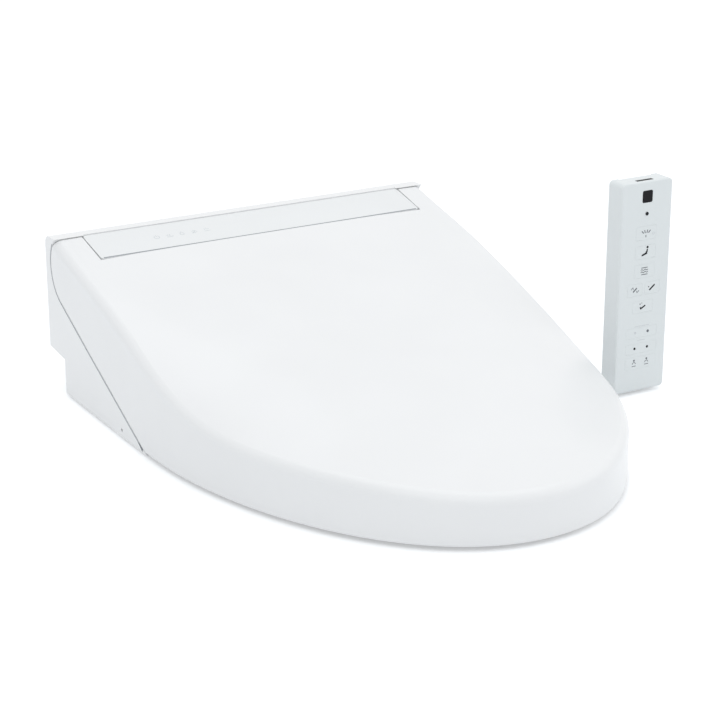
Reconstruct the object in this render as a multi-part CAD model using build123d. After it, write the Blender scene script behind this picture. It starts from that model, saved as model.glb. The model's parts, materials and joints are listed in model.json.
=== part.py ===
from build123d import *
import os
from math import asin, atan2, cos, exp, hypot, pi, radians, sin, sqrt, tan

# Electric bidet seat, in millimetres. +Z is up, the front points to -Y, and the
# origin is midway between the two mounting holes, on the surface the seat rests on.

# ---- lid --------------------------------------------------------------------
lid_half_width = 194.5
lid_widest_y = -156.0
lid_front_y = -455.0
lid_side_power = 2.07
lid_front_power = 1.87
lid_bottom_z = 4.0
lid_wall = 3.2
lid_ridge_slope = 0.1885
lid_crown_drop = 32.0
lid_crown_centre_y = -230.0
lid_crown_spread = 145.0
lid_shoulder_power = 3.9
lid_edge_radius = 9.0

# ---- main unit --------------------------------------------------------------
unit_half_width = 192.0
unit_rear_y = 66.0
unit_top_z = 142.5
unit_bottom_z = 2.0
overhang_z = 37.0
overhang_lip = 13.0
heel_y = 31.0
case_wall = 3.0
floor_lip = 0.6
nose_half_width = 150.0
block_half_width = 163.5
nose_toe_y = -92.0
nose_toe_z = 16.0
shoulder_front_y = -28.0
shoulder_rear_y = -8.0
nose_lean = 30.0
nose_face_height = 62.0
rear_edge_radius = 9.0

# ---- seam between the lid's ears and the side panels ------------------------
seam_tip_y = -139.0
seam_tip_z = 5.0
ear_y = 20.0
ear_z = 118.0
ear_radius = 33.5
seam_gap = 0.8

# ---- deck panel -------------------------------------------------------------
deck_half_width = 164.8
deck_front_y = 2.9
deck_rear_y = 45.9
deck_front_z = 132.0
deck_recess = 0.8
deck_thickness = 2.5
deck_gap = 0.4
deck_ledge = 3.0

# ---- hinge ------------------------------------------------------------------
hinge_y = 21.0
hinge_z = 123.0
pin_radius = 4.0
pin_clearance = 0.05
hinge_boss_radius = 7.4
seat_boss_inner_x = 167.0
seat_boss_width = 11.0
lid_boss_width = 9.0
damper_radius = 7.5
damper_length = 24.0
bush_wall = 1.0

# ---- seat -------------------------------------------------------------------
seat_inset = 7.2
seat_bottom_z = 8.0
seat_top_z = 33.0
seat_wall = 2.8
seat_shelf_gap = 3.4
seat_arm_height = 30.0
seat_opening_half_width = 104.0
seat_opening_front_y = -388.0
seat_opening_rear_y = -138.0
seat_bridge_rear_y = -98.0
seat_arm_inner_x = 153.5
bumper_radius = 9.0
bumper_edge_radius = 1.5
seat_bumper_places = ((132.0, -210.0), (86.0, -384.0))
lid_bumper_places = ((150.0, -190.0), (92.0, -392.0))
lid_bumper_radius = 6.0

# ---- nose cover -------------------------------------------------------------
cover_margin = 9.0
cover_low = 5.0
cover_high = 50.0
cover_gap = 0.3
cover_lip = 1.6
cover_rib_up = 26.0
cover_rib_width = 2.0
port_half_width = 9.5
flap_up = 14.0
flap_gap = 0.5

# ---- controls and openings of the side panels -------------------------------
seep_y = -94.0
seep_z = 8.0
seep_radius = 1.7
control_gap = 0.4
control_depth = 14.0
button_y = -8.0
button_z = 21.0
button_width = 20.0
button_height = 12.0
drain_y = 18.0
drain_z = 20.0
drain_radius = 6.0

# ---- supply connections under the overhang ----------------------------------
underside_y = 49.0
inlet_x = 118.0
inlet_radius = 10.48
inlet_length = 16.0
inlet_collar_wall = 2.0
inlet_flange_wall = 3.2
inlet_hole_wall = 2.2
inlet_bore_radius = 6.5
gland_x = 152.0
gland_radius = 7.0
gland_flange_wall = 2.4
gland_bore_radius = 3.4

# ---- floor and its fasteners ------------------------------------------------
screw_x = 126.0
screw_rows = (-70.0, 14.0)
screw_post_radius = 4.5
screw_post_top_z = 34.0
screw_hole_radius = 1.6
screw_shank_radius = 1.55
screw_head_radius = 3.4
screw_head_top_z = 3.4
screw_end_z = 28.0
floor_rib_rows = (-60.0, -30.0, 0.0)
floor_rib_width = 2.0
floor_rib_top_z = 14.0
pad_x = 168.0
pad_rows = (-100.0, 10.0)
pad_length = 26.0
pad_width = 12.0

# ---- indicator window and its board -----------------------------------------
window_x0 = -104.0
window_x1 = -44.0
window_y0 = 22.0
window_y1 = 36.0
window_skin = 0.8
window_gap = 0.1
lamp_count = 5
lamp_size = 3.2
display_thickness = 1.6

# ---- modules inside the unit ------------------------------------------------
tank_x0 = -136.0
tank_x1 = -66.0
tank_y0 = -8.0
tank_y1 = 54.0
tank_z0 = 40.0
tank_z1 = 88.0
tank_rib_depth = 1.5
pipe_radius = 4.0
pump_x = -52.0
pump_y = 10.0
pump_z = 40.0
pump_head_radius = 12.0
pump_head_length = 14.0
pump_motor_radius = 10.0
pump_motor_length = 18.0
supply_x0 = -142.0
supply_x1 = -106.0
supply_y0 = -60.0
supply_y1 = -14.0
supply_z0 = 16.0
supply_z1 = 36.0
supply_fins = 5
control_board_x0 = -100.0
control_board_x1 = 112.0
control_board_y0 = 6.0
control_board_y1 = 42.0
control_board_z = 98.0
control_board_thickness = 1.6

# ---- mounting ---------------------------------------------------------------
bolt_spacing = 140.0
bolt_hole_radius = 4.25
base_half_width = 96.0
base_front_y = -50.0
base_rear_y = 26.0
base_thickness = 3.0
rail_height = 9.0
slide_clearance = 0.8
keeper_reach = 5.4
flange_thickness = 2.4
stand_off = 0.2

# ---- wand -------------------------------------------------------------------
wand_radius = 6.0
wand_tilt = 20.0
wand_exit_z = 36.0
wand_length = 116.0
wand_setback = 4.0
wand_travel = 78.0
rack_module = 1.0
pinion_teeth = 12
pinion_width = 5.0
rack_stand = 2.4
tooth_play = 0.12
tooth_angle = 20.0
wand_bore = 3.4
wand_play = 0.5
wiper_play = 0.6
nozzle_radius = 0.7
shaft_radius = 2.0

# ---- dryer and deodorizer ---------------------------------------------------
dryer_x = 72.0
dryer_y = -14.0
dryer_z = 46.0
dryer_radius = 27.0
dryer_width = 30.0
dryer_blades = 16
flap_width = 46.0
flap_height = 20.0
fan_x = 108.0
fan_radius = 11.5
fan_width = 18.0
cartridge_y = -46.0
cartridge_width = 30.0
cartridge_height = 22.0
cartridge_length = 58.0
side_opening_z = 9.0

# ---- handset ----------------------------------------------------------------
handset_x = 256.0
handset_back_y = -208.5
handset_width = 55.0
handset_height = 195.0
handset_depth = 20.0
handset_bottom_z = 3.0
handset_wall = 2.2
handset_corner = 4.0
key_gap = 0.35
key_skin = 1.0
key_flange = 1.2
key_stack = 1.3
key_radius = 1.6
handset_split_depth = 9.0
handset_edge_radius = 1.6
board_gap = 2.4
board_thickness = 1.2
board_margin = 6.0
lamp_share = 0.15
lamp_radius = 1.0
lamp_gap = 0.15
battery_cover_bottom_z = 118.0
battery_cover_width = 36.0
battery_cover_thickness = 1.8
battery_cover_gap = 0.3
bracket_half_width = 20.0
bracket_height = 110.0
bracket_thickness = 3.0
rail_bottom_z = 30.0
rail_top_z = 92.0
rail_neck_half_width = 6.0
rail_flange_half_width = 10.0
rail_play = 0.5
bracket_gap = 0.6
bracket_screw_radius = 2.2
battery_radius = 5.0
battery_length = 44.0

# ---- values that follow from those above ------------------------------------
far = 400.0
seam_reach = hypot(ear_y - seam_tip_y, ear_z - seam_tip_z)
seam_angle = atan2(ear_z - seam_tip_z, ear_y - seam_tip_y) - asin(ear_radius / seam_reach)
seam_run = sqrt(seam_reach ** 2 - ear_radius ** 2)
deck_slope = (unit_top_z - deck_front_z) / (deck_rear_y - deck_front_y)
face_up = (sin(radians(nose_lean)), cos(radians(nose_lean)))
face_out = (-face_up[1], face_up[0])
nose_brow_y = nose_toe_y + nose_face_height * tan(radians(nose_lean))
nose_brow_z = nose_toe_z + nose_face_height
wand_way = (-cos(radians(wand_tilt)), -sin(radians(wand_tilt)))
wand_below = (sin(radians(wand_tilt)), -cos(radians(wand_tilt)))
wand_exit_y = nose_toe_y + (wand_exit_z - nose_toe_z) * tan(radians(nose_lean))
rack_pitch_drop = wand_radius + rack_stand
rack_root_drop = rack_pitch_drop - rack_module * 1.15
rack_tip_drop = rack_pitch_drop + rack_module * 0.9
rack_pitch = pi * rack_module
tip_length = 14.0
rack_start = -wand_setback - tip_length
pinion_pitch_radius = rack_module * pinion_teeth / 2
cartridge_x = unit_half_width - cartridge_length
handset_front_y = handset_back_y - handset_depth
handset_split_y = handset_back_y - handset_split_depth
handset_top_z = handset_bottom_z + handset_height
board_y = handset_front_y + handset_wall + board_gap
cover_half_width = nose_half_width - cover_margin
lid_boss_outer_x = unit_half_width - lid_wall + 0.6
bush_radius = pin_radius + pin_clearance + bush_wall
pin_inner_x = block_half_width - 18
floor_top_z = unit_bottom_z + case_wall
channel_half_width = base_half_width + slide_clearance
channel_roof_z = rail_height + slide_clearance
channel_top_z = channel_roof_z + case_wall


# ---- shared helpers ---------------------------------------------------------
def block(x0, x1, y0, y1, z0, z1):
    """Box from one corner to the other."""
    middle = Pos((x0 + x1) / 2, (y0 + y1) / 2, (z0 + z1) / 2)
    return middle * Box(x1 - x0, y1 - y0, z1 - z0)


def rod(radius, start, end):
    """Round bar between two points."""
    way = Vector(*end) - Vector(*start)
    plane = Plane(origin=start, z_dir=way)
    return plane * Cylinder(radius, way.length, align=(Align.CENTER, Align.CENTER, Align.MIN))


def cross_rod(radius, x0, x1, y, z):
    """Round bar along X."""
    return rod(radius, (x0, y, z), (x1, y, z))


def side_face(points):
    """Flat face in the YZ plane from (y, z) corners."""
    return Plane.YZ * make_face(Polyline(*points, close=True))


def across(face, x0, x1):
    """Sweep a side profile along X from x0 to x1."""
    return Pos(x0, 0, 0) * extrude(face, x1 - x0, dir=(1, 0, 0))


def slab(points, x0, x1):
    """Side profile of straight edges swept along X."""
    return across(side_face(points), x0, x1)


def both_sides(solid):
    """The solid and its mirror image about the YZ plane."""
    return [solid, mirror(solid, about=Plane.YZ)]


def soften(solid, radius, choose):
    """Round the edges that the test picks."""
    return fillet([edge for edge in solid.edges() if choose(edge)], radius)


def upright(edge):
    """True for an edge parallel to Z."""
    way = edge.end_point() - edge.start_point()
    return abs(way.X) < 1e-6 and abs(way.Y) < 1e-6


def rounded_block(x0, x1, y0, y1, z0, z1, radius):
    """Box with its upright edges rounded."""
    return soften(block(x0, x1, y0, y1, z0, z1), radius, upright)


# ---- plan outline and crowned roof of the lid -------------------------------
def side_half_width(y, inset):
    """Half width behind the widest line, where the sides bow in a little."""
    share = (y - lid_widest_y) / (unit_rear_y - lid_widest_y)
    return lid_half_width - (lid_half_width - unit_half_width) * share ** 2 - inset


def front_curve(inset, turns):
    """Points of the rounded front from the right side to the left side."""
    width = lid_half_width - inset
    reach = lid_widest_y - lid_front_y - inset
    points = []
    for step in range(turns + 1):
        angle = pi / 2 - pi * step / turns
        x = width * abs(sin(angle)) ** (2 / lid_side_power)
        y = lid_widest_y - reach * abs(cos(angle)) ** (2 / lid_front_power)
        points.append((x if angle >= 0 else -x, y))
    return points


def plan_prism(inset, rear_y, z0, z1):
    """Upright prism on the lid's outline, moved in by the inset."""
    sides = [(side_half_width(y, inset), y)
             for y in (rear_y, rear_y * 0.6 + lid_widest_y * 0.4, rear_y * 0.25 + lid_widest_y * 0.75)]
    left = [(-x, y) for x, y in reversed(sides)]
    line = Spline(*sides, *front_curve(inset, 20), *left)
    outline = make_face(line + Line(left[-1], sides[0]))
    return Pos(0, 0, z0) * extrude(outline, z1 - z0, dir=(0, 0, 1))


def outline_share(x, y):
    """0 on the centre line and 1 on the lid's outline."""
    if y >= lid_widest_y:
        return abs(x) / side_half_width(y, 0)
    across_share = (abs(x) / lid_half_width) ** lid_side_power
    along_share = ((lid_widest_y - y) / (lid_widest_y - lid_front_y)) ** lid_front_power
    return (across_share + along_share) ** (1 / lid_side_power)


def roof_height(x, y):
    """Height of the lid's crowned top."""
    slope = lid_ridge_slope if y < deck_front_y else deck_slope
    ridge = deck_front_z - slope * (deck_front_y - y)
    swell = exp(-((y - lid_crown_centre_y) / lid_crown_spread) ** 2)
    return ridge - lid_crown_drop * swell * outline_share(x, y) ** lid_shoulder_power


def under_roof(depth):
    """Everything below the crowned top, moved down by the depth."""
    columns = 15
    stations = 27
    x_reach = lid_half_width + 6
    y_front = lid_front_y - 6
    y_reach = unit_rear_y + 6 - y_front
    rows = []
    for row in range(stations + 1):
        y = y_front + y_reach * row / stations
        rows.append([Vector(x_reach * (2 * column / columns - 1), y,
                            roof_height(x_reach * (2 * column / columns - 1), y) - depth)
                     for column in range(columns + 1)])
    sheet = Face.make_surface_from_array_of_points(rows, tol=0.05, min_deg=3, max_deg=5)
    return extrude(sheet, far, dir=(0, 0, -1))


# ---- seam curve -------------------------------------------------------------
def seam_points(shift):
    """Foot and tangent point of the seam's straight run, and the top of its arc."""
    out = (sin(seam_angle), -cos(seam_angle))
    foot = (seam_tip_y + shift * out[0], seam_tip_z + shift * out[1])
    touch = (foot[0] + seam_run * cos(seam_angle), foot[1] + seam_run * sin(seam_angle))
    radius = ear_radius + shift
    top = (ear_y + sqrt(radius ** 2 - (unit_top_z - ear_z) ** 2), unit_top_z)
    back = (ear_y + radius, ear_z)
    return foot, touch, back, top


def on_seam_line(y, shift):
    """Height of the seam's straight run at y, moved outwards by the shift."""
    foot = seam_points(shift)[0]
    return foot[1] + (y - foot[0]) * tan(seam_angle)


def side_panel_face(shift, rear_y, bottom_z):
    """Side view, in (y, z), of what lies below and behind the seam."""
    foot, touch, back, top = seam_points(shift)
    toe = (foot[0] + (bottom_z - foot[1]) / tan(seam_angle), bottom_z)
    edges = Line(toe, touch) + ThreePointArc(touch, back, top)
    edges += Polyline(top, (rear_y, unit_top_z), (rear_y, overhang_z),
                      (rear_y - overhang_lip, overhang_z - 1), (heel_y, overhang_z - 3),
                      (heel_y, bottom_z), toe)
    return make_face(edges)


def lid_side_region():
    """Side view of what lies above and in front of the seam."""
    foot, touch, back, top = seam_points(-seam_gap / 2)
    low = (foot[0] - far, foot[1] - far * tan(seam_angle))
    edges = Line(low, touch) + ThreePointArc(touch, back, top)
    edges += Polyline(top, (top[0], far), (low[0], far), low)
    return Plane.YZ * make_face(edges)


# ---- lid --------------------------------------------------------------------
def lid_form(inset, depth, bottom_z, edge_radius):
    """Crowned form of the lid's outline, with a softened top edge."""
    prism = plan_prism(inset, unit_rear_y + 4, bottom_z, far)
    form = prism & under_roof(depth)
    rims = [edge for edge in form.edges()
            if edge.bounding_box().min.Z > bottom_z + 5 and edge.center().Y < unit_rear_y - 5]
    rims = [edge for edge in rims if not upright(edge)]
    return fillet(rims, edge_radius)


def lid_boss():
    """Hinge eye hanging from the ear's outer wall."""
    inner_x = lid_boss_outer_x - lid_boss_width
    eye = cross_rod(hinge_boss_radius, inner_x, lid_boss_outer_x, hinge_y, hinge_z)
    web = block(inner_x, lid_boss_outer_x, hinge_y - hinge_boss_radius,
                hinge_y + hinge_boss_radius, hinge_z, unit_top_z)
    return eye + web


def lid_shell():
    """Thin crowned shell with two ears round the hinge."""
    outer = lid_form(0, 0, lid_bottom_z, lid_edge_radius)
    inner = lid_form(lid_wall, lid_wall, lid_bottom_z - 20, lid_edge_radius - lid_wall)
    bosses = both_sides(lid_boss())
    shell = outer - inner + (outer & bosses[0]) + (outer & bosses[1])
    shell &= across(lid_side_region(), -far, far)
    notch = block(-deck_half_width - seam_gap, deck_half_width + seam_gap,
                  deck_front_y - seam_gap, far, 0, far)
    swing = hypot(hinge_y - deck_front_y - deck_gap, deck_front_z - deck_recess - hinge_z) + 0.5
    notch += cross_rod(swing, -deck_half_width - seam_gap, deck_half_width + seam_gap, hinge_y, hinge_z)
    shell -= notch
    return shell - cross_rod(bush_radius, -lid_boss_outer_x, lid_boss_outer_x, hinge_y, hinge_z)


def lid_hinge_bushes():
    """Plastic bushes pressed into the lid's hinge eyes."""
    outer = cross_rod(bush_radius, lid_boss_outer_x - lid_boss_width, lid_boss_outer_x, hinge_y, hinge_z)
    bore = cross_rod(pin_radius + pin_clearance, 0, lid_boss_outer_x, hinge_y, hinge_z)
    return both_sides(outer - bore)


def lid_bumpers():
    """Soft pads that carry the lid on the seat's front and sides."""
    pads = []
    for x, y in lid_bumper_places:
        column = rod(lid_bumper_radius, (x, y, seat_top_z), (x, y, seat_top_z + far))
        pads += both_sides(column & under_roof(lid_wall))
    return pads


# ---- seat -------------------------------------------------------------------
def seat_profile(shrink):
    """Side view of the seat with its rising arms and hinge eye."""
    low = seat_bottom_z + shrink
    high = seat_top_z - shrink
    lift = seat_shelf_gap / cos(seam_angle)
    rise = seat_arm_height / cos(seam_angle)
    slope = tan(seam_angle)
    base = on_seam_line(0, 0) + lift + shrink / cos(seam_angle)
    crest = on_seam_line(0, 0) + lift + rise - shrink / cos(seam_angle)
    eye = hinge_boss_radius - shrink
    points = [(lid_front_y, low), ((low - base) / slope, low), (hinge_y - 16, base + (hinge_y - 16) * slope),
              (hinge_y + eye * 0.8, hinge_z - eye * 0.6), (hinge_y - eye * 0.7, hinge_z + eye * 0.7),
              (hinge_y - 46, crest + (hinge_y - 46) * slope), ((high - crest) / slope - 8, high),
              (lid_front_y, high)]
    face = make_face(Polyline(*points, close=True))
    bends = ((points[1], 40), (points[6], 60), (points[2], 14), (points[5], 24))
    for (y, z), radius in bends:
        corner = face.vertices().sort_by_distance((y, z))[0]
        face = fillet(corner, radius)
    return Plane.YZ * face


def seat_plan(shrink):
    """Top view of the ring with its opening and the two rear arms."""
    ring = plan_prism(seat_inset + shrink, hinge_y + 14, -10, far)
    middle_y = (seat_opening_front_y + seat_opening_rear_y) / 2
    half_length = (seat_opening_rear_y - seat_opening_front_y) / 2 - shrink
    middle = Pos(0, middle_y, -20)
    hole = middle * extrude(opening_face(seat_opening_half_width - shrink, half_length), 2 * far)
    arm_x = seat_arm_inner_x + shrink
    eye_x = seat_boss_inner_x + shrink
    nose = soften(block(-arm_x, arm_x, seat_bridge_rear_y - shrink, far, -20, far), 12, upright)
    neck = block(-eye_x, eye_x, hinge_y - 52, far, -20, far)
    return ring - hole - nose - neck


def opening_face(half_width, half_length):
    """Egg-shaped opening, squarer than an ellipse."""
    points = []
    for step in range(24):
        angle = 2 * pi * step / 24
        x = half_width * abs(sin(angle)) ** 0.86 * (1 if sin(angle) >= 0 else -1)
        y = half_length * abs(cos(angle)) ** 0.86 * (1 if cos(angle) >= 0 else -1)
        points.append((x, y))
    return make_face(Spline(*points, periodic=True))


def seat_form(shrink):
    """Whole seat, or its hollow when shrunk by the wall."""
    form = seat_plan(shrink) & across(seat_profile(shrink), -far, far)
    boss_outer_x = seat_boss_inner_x + seat_boss_width
    clear = block(boss_outer_x, far, hinge_y - hinge_boss_radius - 3, far, 0, far)
    for side in both_sides(clear):
        form -= side
    return form


def seat_channel():
    """Passage under the rear bridge, sloped like the wand."""
    near_y, near_z = wand_point(-20, -wand_radius - 4)
    far_y, far_z = wand_point(140, -wand_radius - 4)
    return slab([(near_y, near_z), (far_y, far_z), (far_y, -20), (near_y, -20)], -24, 24)


def seat_parting():
    """Surface between the seat's top and bottom shells."""
    low = seat_bottom_z + 6
    lift = seat_shelf_gap / cos(seam_angle) + 9
    slope = tan(seam_angle)
    base = on_seam_line(0, 0) + lift
    points = [(lid_front_y - 20, low), ((low - base) / slope, low), (far, base + far * slope),
              (far, -far), (lid_front_y - 20, -far)]
    return slab(points, -far, far)


def hinge_bore(length):
    """Cut for the hinge pins with running clearance."""
    return cross_rod(pin_radius + pin_clearance, -length, length, hinge_y, hinge_z)


def seat_top_shell():
    """Sitting surface, arms and hinge eyes."""
    outer = seat_form(0)
    outer = soften(outer, 7, lambda edge: edge.bounding_box().min.Z > seat_top_z - 0.5
                   and edge.bounding_box().max.Z < seat_top_z + 0.5 and edge.length > 150)
    eyes = both_sides(cross_rod(hinge_boss_radius, seat_boss_inner_x, seat_boss_inner_x + seat_boss_width,
                                hinge_y, hinge_z))
    shell = outer - seat_form(seat_wall) - seat_parting() - seat_channel()
    shell = shell + eyes[0] + eyes[1]
    return shell - hinge_bore(unit_half_width)


def seat_bottom_shell():
    """Underside of the seat, with the wand's passage."""
    outer = seat_form(0) & seat_parting()
    return outer - seat_form(seat_wall) - seat_channel()


def seat_heater():
    """Heating sheet glued under the sitting surface."""
    ring = seat_plan(seat_wall + 4)
    band = block(-far, far, lid_front_y, seat_opening_rear_y - 40, seat_top_z - seat_wall - 1.2,
                 seat_top_z - seat_wall)
    return ring & band


def seat_bumpers():
    """Rubber feet of the seat."""
    pads = []
    sole = SlotOverall(bumper_radius * 4, bumper_radius * 2, rotation=90)
    for x, y in seat_bumper_places:
        foot = Pos(x, y, 0) * extrude(sole, seat_bottom_z)
        pads += both_sides(fillet(foot.faces().sort_by(Axis.Z)[0].edges(), bumper_edge_radius))
    return pads


# ---- main unit --------------------------------------------------------------
def block_profile(shrink):
    """Side view of the middle block: heel, overhang, deck seat, brow and nose."""
    top = unit_top_z - deck_recess - deck_thickness
    front_drop = deck_front_z - deck_recess - deck_thickness
    points = [(unit_rear_y, overhang_z), (unit_rear_y, unit_top_z), (deck_rear_y + deck_gap, unit_top_z),
              (deck_rear_y + deck_gap, top),
              (deck_front_y + deck_ledge, front_drop + deck_ledge * deck_slope),
              (deck_front_y - deck_ledge, front_drop - deck_ledge * 2),
              (nose_brow_y, nose_brow_z), (nose_toe_y, nose_toe_z), (nose_toe_y, unit_bottom_z),
              (heel_y, unit_bottom_z), (heel_y, overhang_z - 3), (unit_rear_y - overhang_lip, overhang_z - 1)]
    face = make_face(Polyline(*points, close=True))
    corner = face.vertices().sort_by_distance((unit_rear_y, unit_top_z))[0]
    face = fillet(corner, rear_edge_radius)
    corner = face.vertices().sort_by_distance((nose_brow_y, nose_brow_z))[0]
    face = fillet(corner, 25)
    if shrink:
        face = offset(face, -shrink, kind=Kind.INTERSECTION)
    return Plane.YZ * face


def block_plan(shrink):
    """Top view of the middle block, narrower at the nose."""
    wide = block_half_width - shrink
    slim = nose_half_width - shrink
    points = [(wide, far), (wide, shoulder_rear_y + shrink), (slim, shoulder_front_y + shrink), (slim, -far)]
    mirrored = [(-x, y) for x, y in reversed(points)]
    return extrude(make_face(Polyline(*points, *mirrored, close=True)), far)


def side_panel(shrink):
    """Side bodies below and behind the seam, on both sides of the block."""
    face = side_panel_face(seam_gap / 2, unit_rear_y, unit_bottom_z)
    corner = face.vertices().sort_by_distance((unit_rear_y, unit_top_z))[0]
    face = fillet(corner, rear_edge_radius)
    if shrink:
        face = offset(face, -shrink, kind=Kind.INTERSECTION)
    profile = Plane.YZ * face
    return across(profile, -far, far) & plan_prism(shrink, unit_rear_y + 4, -far, far)


def case_form(shrink):
    """Outer form of the main unit, or its hollow when shrunk by the wall."""
    middle = across(block_profile(shrink), -far, far) & block_plan(shrink)
    core = Pos(0, 0, -far / 2) * block_plan(shrink)
    return middle + (side_panel(shrink) - core)


def deck_opening():
    """Cut through the deck's seat for the indicator board."""
    half = block_half_width - 14
    return block(-half, half, deck_front_y + 7, deck_rear_y - 5, hinge_z, far)


def face_point(up, out):
    """Point on the nose's leaning face, up from its foot and out from it."""
    y = nose_toe_y + up * face_up[0] + out * face_out[0]
    z = nose_toe_z + up * face_up[1] + out * face_out[1]
    return y, z


def face_slab(x0, x1, up0, up1, out0, out1):
    """Box aligned with the nose's leaning face."""
    corners = [face_point(up0, out0), face_point(up1, out0), face_point(up1, out1), face_point(up0, out1)]
    return slab(corners, x0, x1)


def wand_point(along, below=0.0):
    """Point on the wand's axis, along from its exit, and square below it."""
    y = wand_exit_y + along * wand_way[0] + below * wand_below[0]
    z = wand_exit_z + along * wand_way[1] + below * wand_below[1]
    return y, z


def wand_rod(radius, start, end):
    """Round bar on the wand's axis."""
    y0, z0 = wand_point(start)
    y1, z1 = wand_point(end)
    return rod(radius, (0, y0, z0), (0, y1, z1))


def upper_case():
    """Visible outer case: side panels, rear strip, deck seat and nose."""
    shell = case_form(0) - case_form(case_wall)
    shell -= block(-far, far, -far, far, -far, unit_bottom_z + 0.01)
    shell -= floor_plan(case_wall + floor_lip, unit_bottom_z - 5, unit_bottom_z + case_wall + 0.5)
    shell -= block(-channel_half_width, channel_half_width, 0, heel_y + 5, -far, channel_roof_z)
    shell -= deck_opening()
    shell -= face_slab(-cover_half_width, cover_half_width, cover_low, cover_high, -12, 12)
    shell -= hinge_bore(unit_half_width - 6)
    shell -= side_openings()
    shell -= cross_rod(seep_radius, -far, -unit_half_width + 9, seep_y, seep_z)
    shell -= underside_openings()
    return shell


def floor_plan(shrink, z0, z1):
    """Prism on the footprint of the unit's floor."""
    rear = heel_y - shrink
    middle = Pos(0, 0, -far / 2) * block_plan(shrink)
    core = middle & block(-far, far, nose_toe_y + shrink, rear, z0, z1)
    ends = plan_prism(shrink, unit_rear_y, z0, z1) & block(-far, far, seam_tip_y + 12, rear, z0, z1)
    toes = ends - block(-nose_half_width - shrink, nose_half_width + shrink,
                        -far, nose_toe_y + shrink, -far, far)
    return core + (toes - block(-nose_half_width + 9, nose_half_width - 9, -far, far, -far, far))


def side_opening(y, z, width, height):
    """Opening through the right side panel round a piece of the given size."""
    half_y = width / 2 + control_gap
    half_z = height / 2 + control_gap
    return block(unit_half_width - control_depth, far, y - half_y, y + half_y, z - half_z, z + half_z)


def side_openings():
    """Openings of the right side panel for cartridge, button and drain plug."""
    cuts = side_opening(cartridge_y, side_opening_z + cartridge_height / 2, cartridge_width, cartridge_height)
    cuts += side_opening(button_y, button_z, button_width, button_height)
    cuts += cross_rod(drain_radius + control_gap, unit_half_width - control_depth, far, drain_y, drain_z)
    return cuts


def underside_openings():
    """Holes in the overhang for the water inlet and the cord gland."""
    low = overhang_z - 9
    high = overhang_z + 9
    holes = rod(inlet_radius + inlet_hole_wall, (inlet_x, underside_y, low), (inlet_x, underside_y, high))
    holes += rod(gland_radius + stand_off, (gland_x, underside_y, low), (gland_x, underside_y, high))
    return holes


def screw_places():
    """Places of the screws that join the two cases."""
    return [(side * screw_x, y) for side in (-1, 1) for y in screw_rows]


def lower_case():
    """Floor of the unit, with ribs, screw posts and the slide channel."""
    floor_inset = case_wall + floor_lip + 0.3
    inner_rear = heel_y - floor_inset
    tray = floor_plan(floor_inset, unit_bottom_z, floor_top_z)
    wall_x = channel_half_width + case_wall
    channel = block(-wall_x, wall_x, nose_toe_y + floor_inset, inner_rear, unit_bottom_z, channel_top_z)
    hollow = block(-channel_half_width, channel_half_width, nose_toe_y, far, -far, channel_roof_z)
    tray = tray + channel - hollow
    keeper = block(base_half_width - keeper_reach, channel_half_width + 1, base_front_y, inner_rear,
                   base_thickness + slide_clearance, rail_height - flange_thickness - slide_clearance)
    for side in both_sides(keeper):
        tray += side
    for x, y in screw_places():
        tray += rod(screw_post_radius, (x, y, floor_top_z - 1), (x, y, screw_post_top_z))
    for y in floor_rib_rows:
        tray += block(-nose_half_width + 8, -channel_half_width - 1, y, y + floor_rib_width, floor_top_z - 1,
                      floor_rib_top_z)
    for x, y in screw_places():
        tray -= rod(screw_hole_radius, (x, y, -5), (x, y, screw_post_top_z - 4))
        tray -= rod(screw_head_radius + 0.8, (x, y, -5), (x, y, screw_head_top_z))
    return tray


def case_screws():
    """Screws that join the lower case to the upper case."""
    screws = []
    for x, y in screw_places():
        shank = rod(screw_shank_radius, (x, y, screw_head_top_z), (x, y, screw_end_z))
        head = rod(screw_head_radius, (x, y, unit_bottom_z + stand_off), (x, y, screw_head_top_z))
        cross = Pos(x, y, unit_bottom_z) * (Box(4, 0.9, 1.4) + Box(0.9, 4, 1.4))
        screws.append(head + shank - cross)
    return screws


def unit_pads():
    """Rubber pads under the side bodies."""
    pads = []
    for y in pad_rows:
        pad = Pos(pad_x, y, 0) * extrude(SlotOverall(pad_length, pad_width, rotation=90), unit_bottom_z)
        pads += both_sides(pad)
    return pads


def front_cover():
    """Leaning cover of the nose, with the wand port and the dryer outlet."""
    half = cover_half_width - cover_gap
    plate = face_slab(-half, half, cover_low + cover_gap, cover_high - cover_gap, -case_wall, 0)
    plate -= wand_port(0)
    flap_half = flap_width / 2 + flap_gap
    plate -= face_slab(dryer_x - flap_half, dryer_x + flap_half, flap_up - flap_gap,
                       flap_up + flap_height + flap_gap, -20, 20)
    lip = face_slab(-cover_half_width - 4, cover_half_width + 4, cover_low - 2.5, cover_high + 4,
                    -case_wall - cover_lip, -case_wall)
    lip -= face_slab(-cover_half_width + 6, cover_half_width - 6, cover_low + 5, cover_high - 6, -20, 20)
    rib = face_slab(-cover_half_width + 12, -port_half_width - 12, cover_rib_up,
                    cover_rib_up + cover_rib_width, -case_wall - 3, -case_wall + 0.2)
    return plate + lip + rib


def wand_port(grow):
    """Round-ended port in the leaning cover, on the wand's axis."""
    return wand_rod(port_half_width + grow, -12, 14) + rack_slot(1.0 + grow, 1.4)


def rack_slot(side, below):
    """Room for the rack under the wand, wider by side and deeper by below."""
    depth = rack_pitch_drop + rack_module + below
    corners = [wand_point(-14, 0), wand_point(16, 0), wand_point(16, depth), wand_point(-14, depth)]
    return slab(corners, -pinion_width / 2 - side, pinion_width / 2 + side)


def wand_wiper_seal():
    """Rubber lip that wipes the wand in its port."""
    ring = wand_rod(port_half_width - 0.1, -9, 9) & face_slab(-20, 20, -10, 60, -case_wall, 0)
    return ring - wand_rod(wand_radius + wiper_play, -20, 20) - rack_slot(wiper_play, 1.0)


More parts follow.
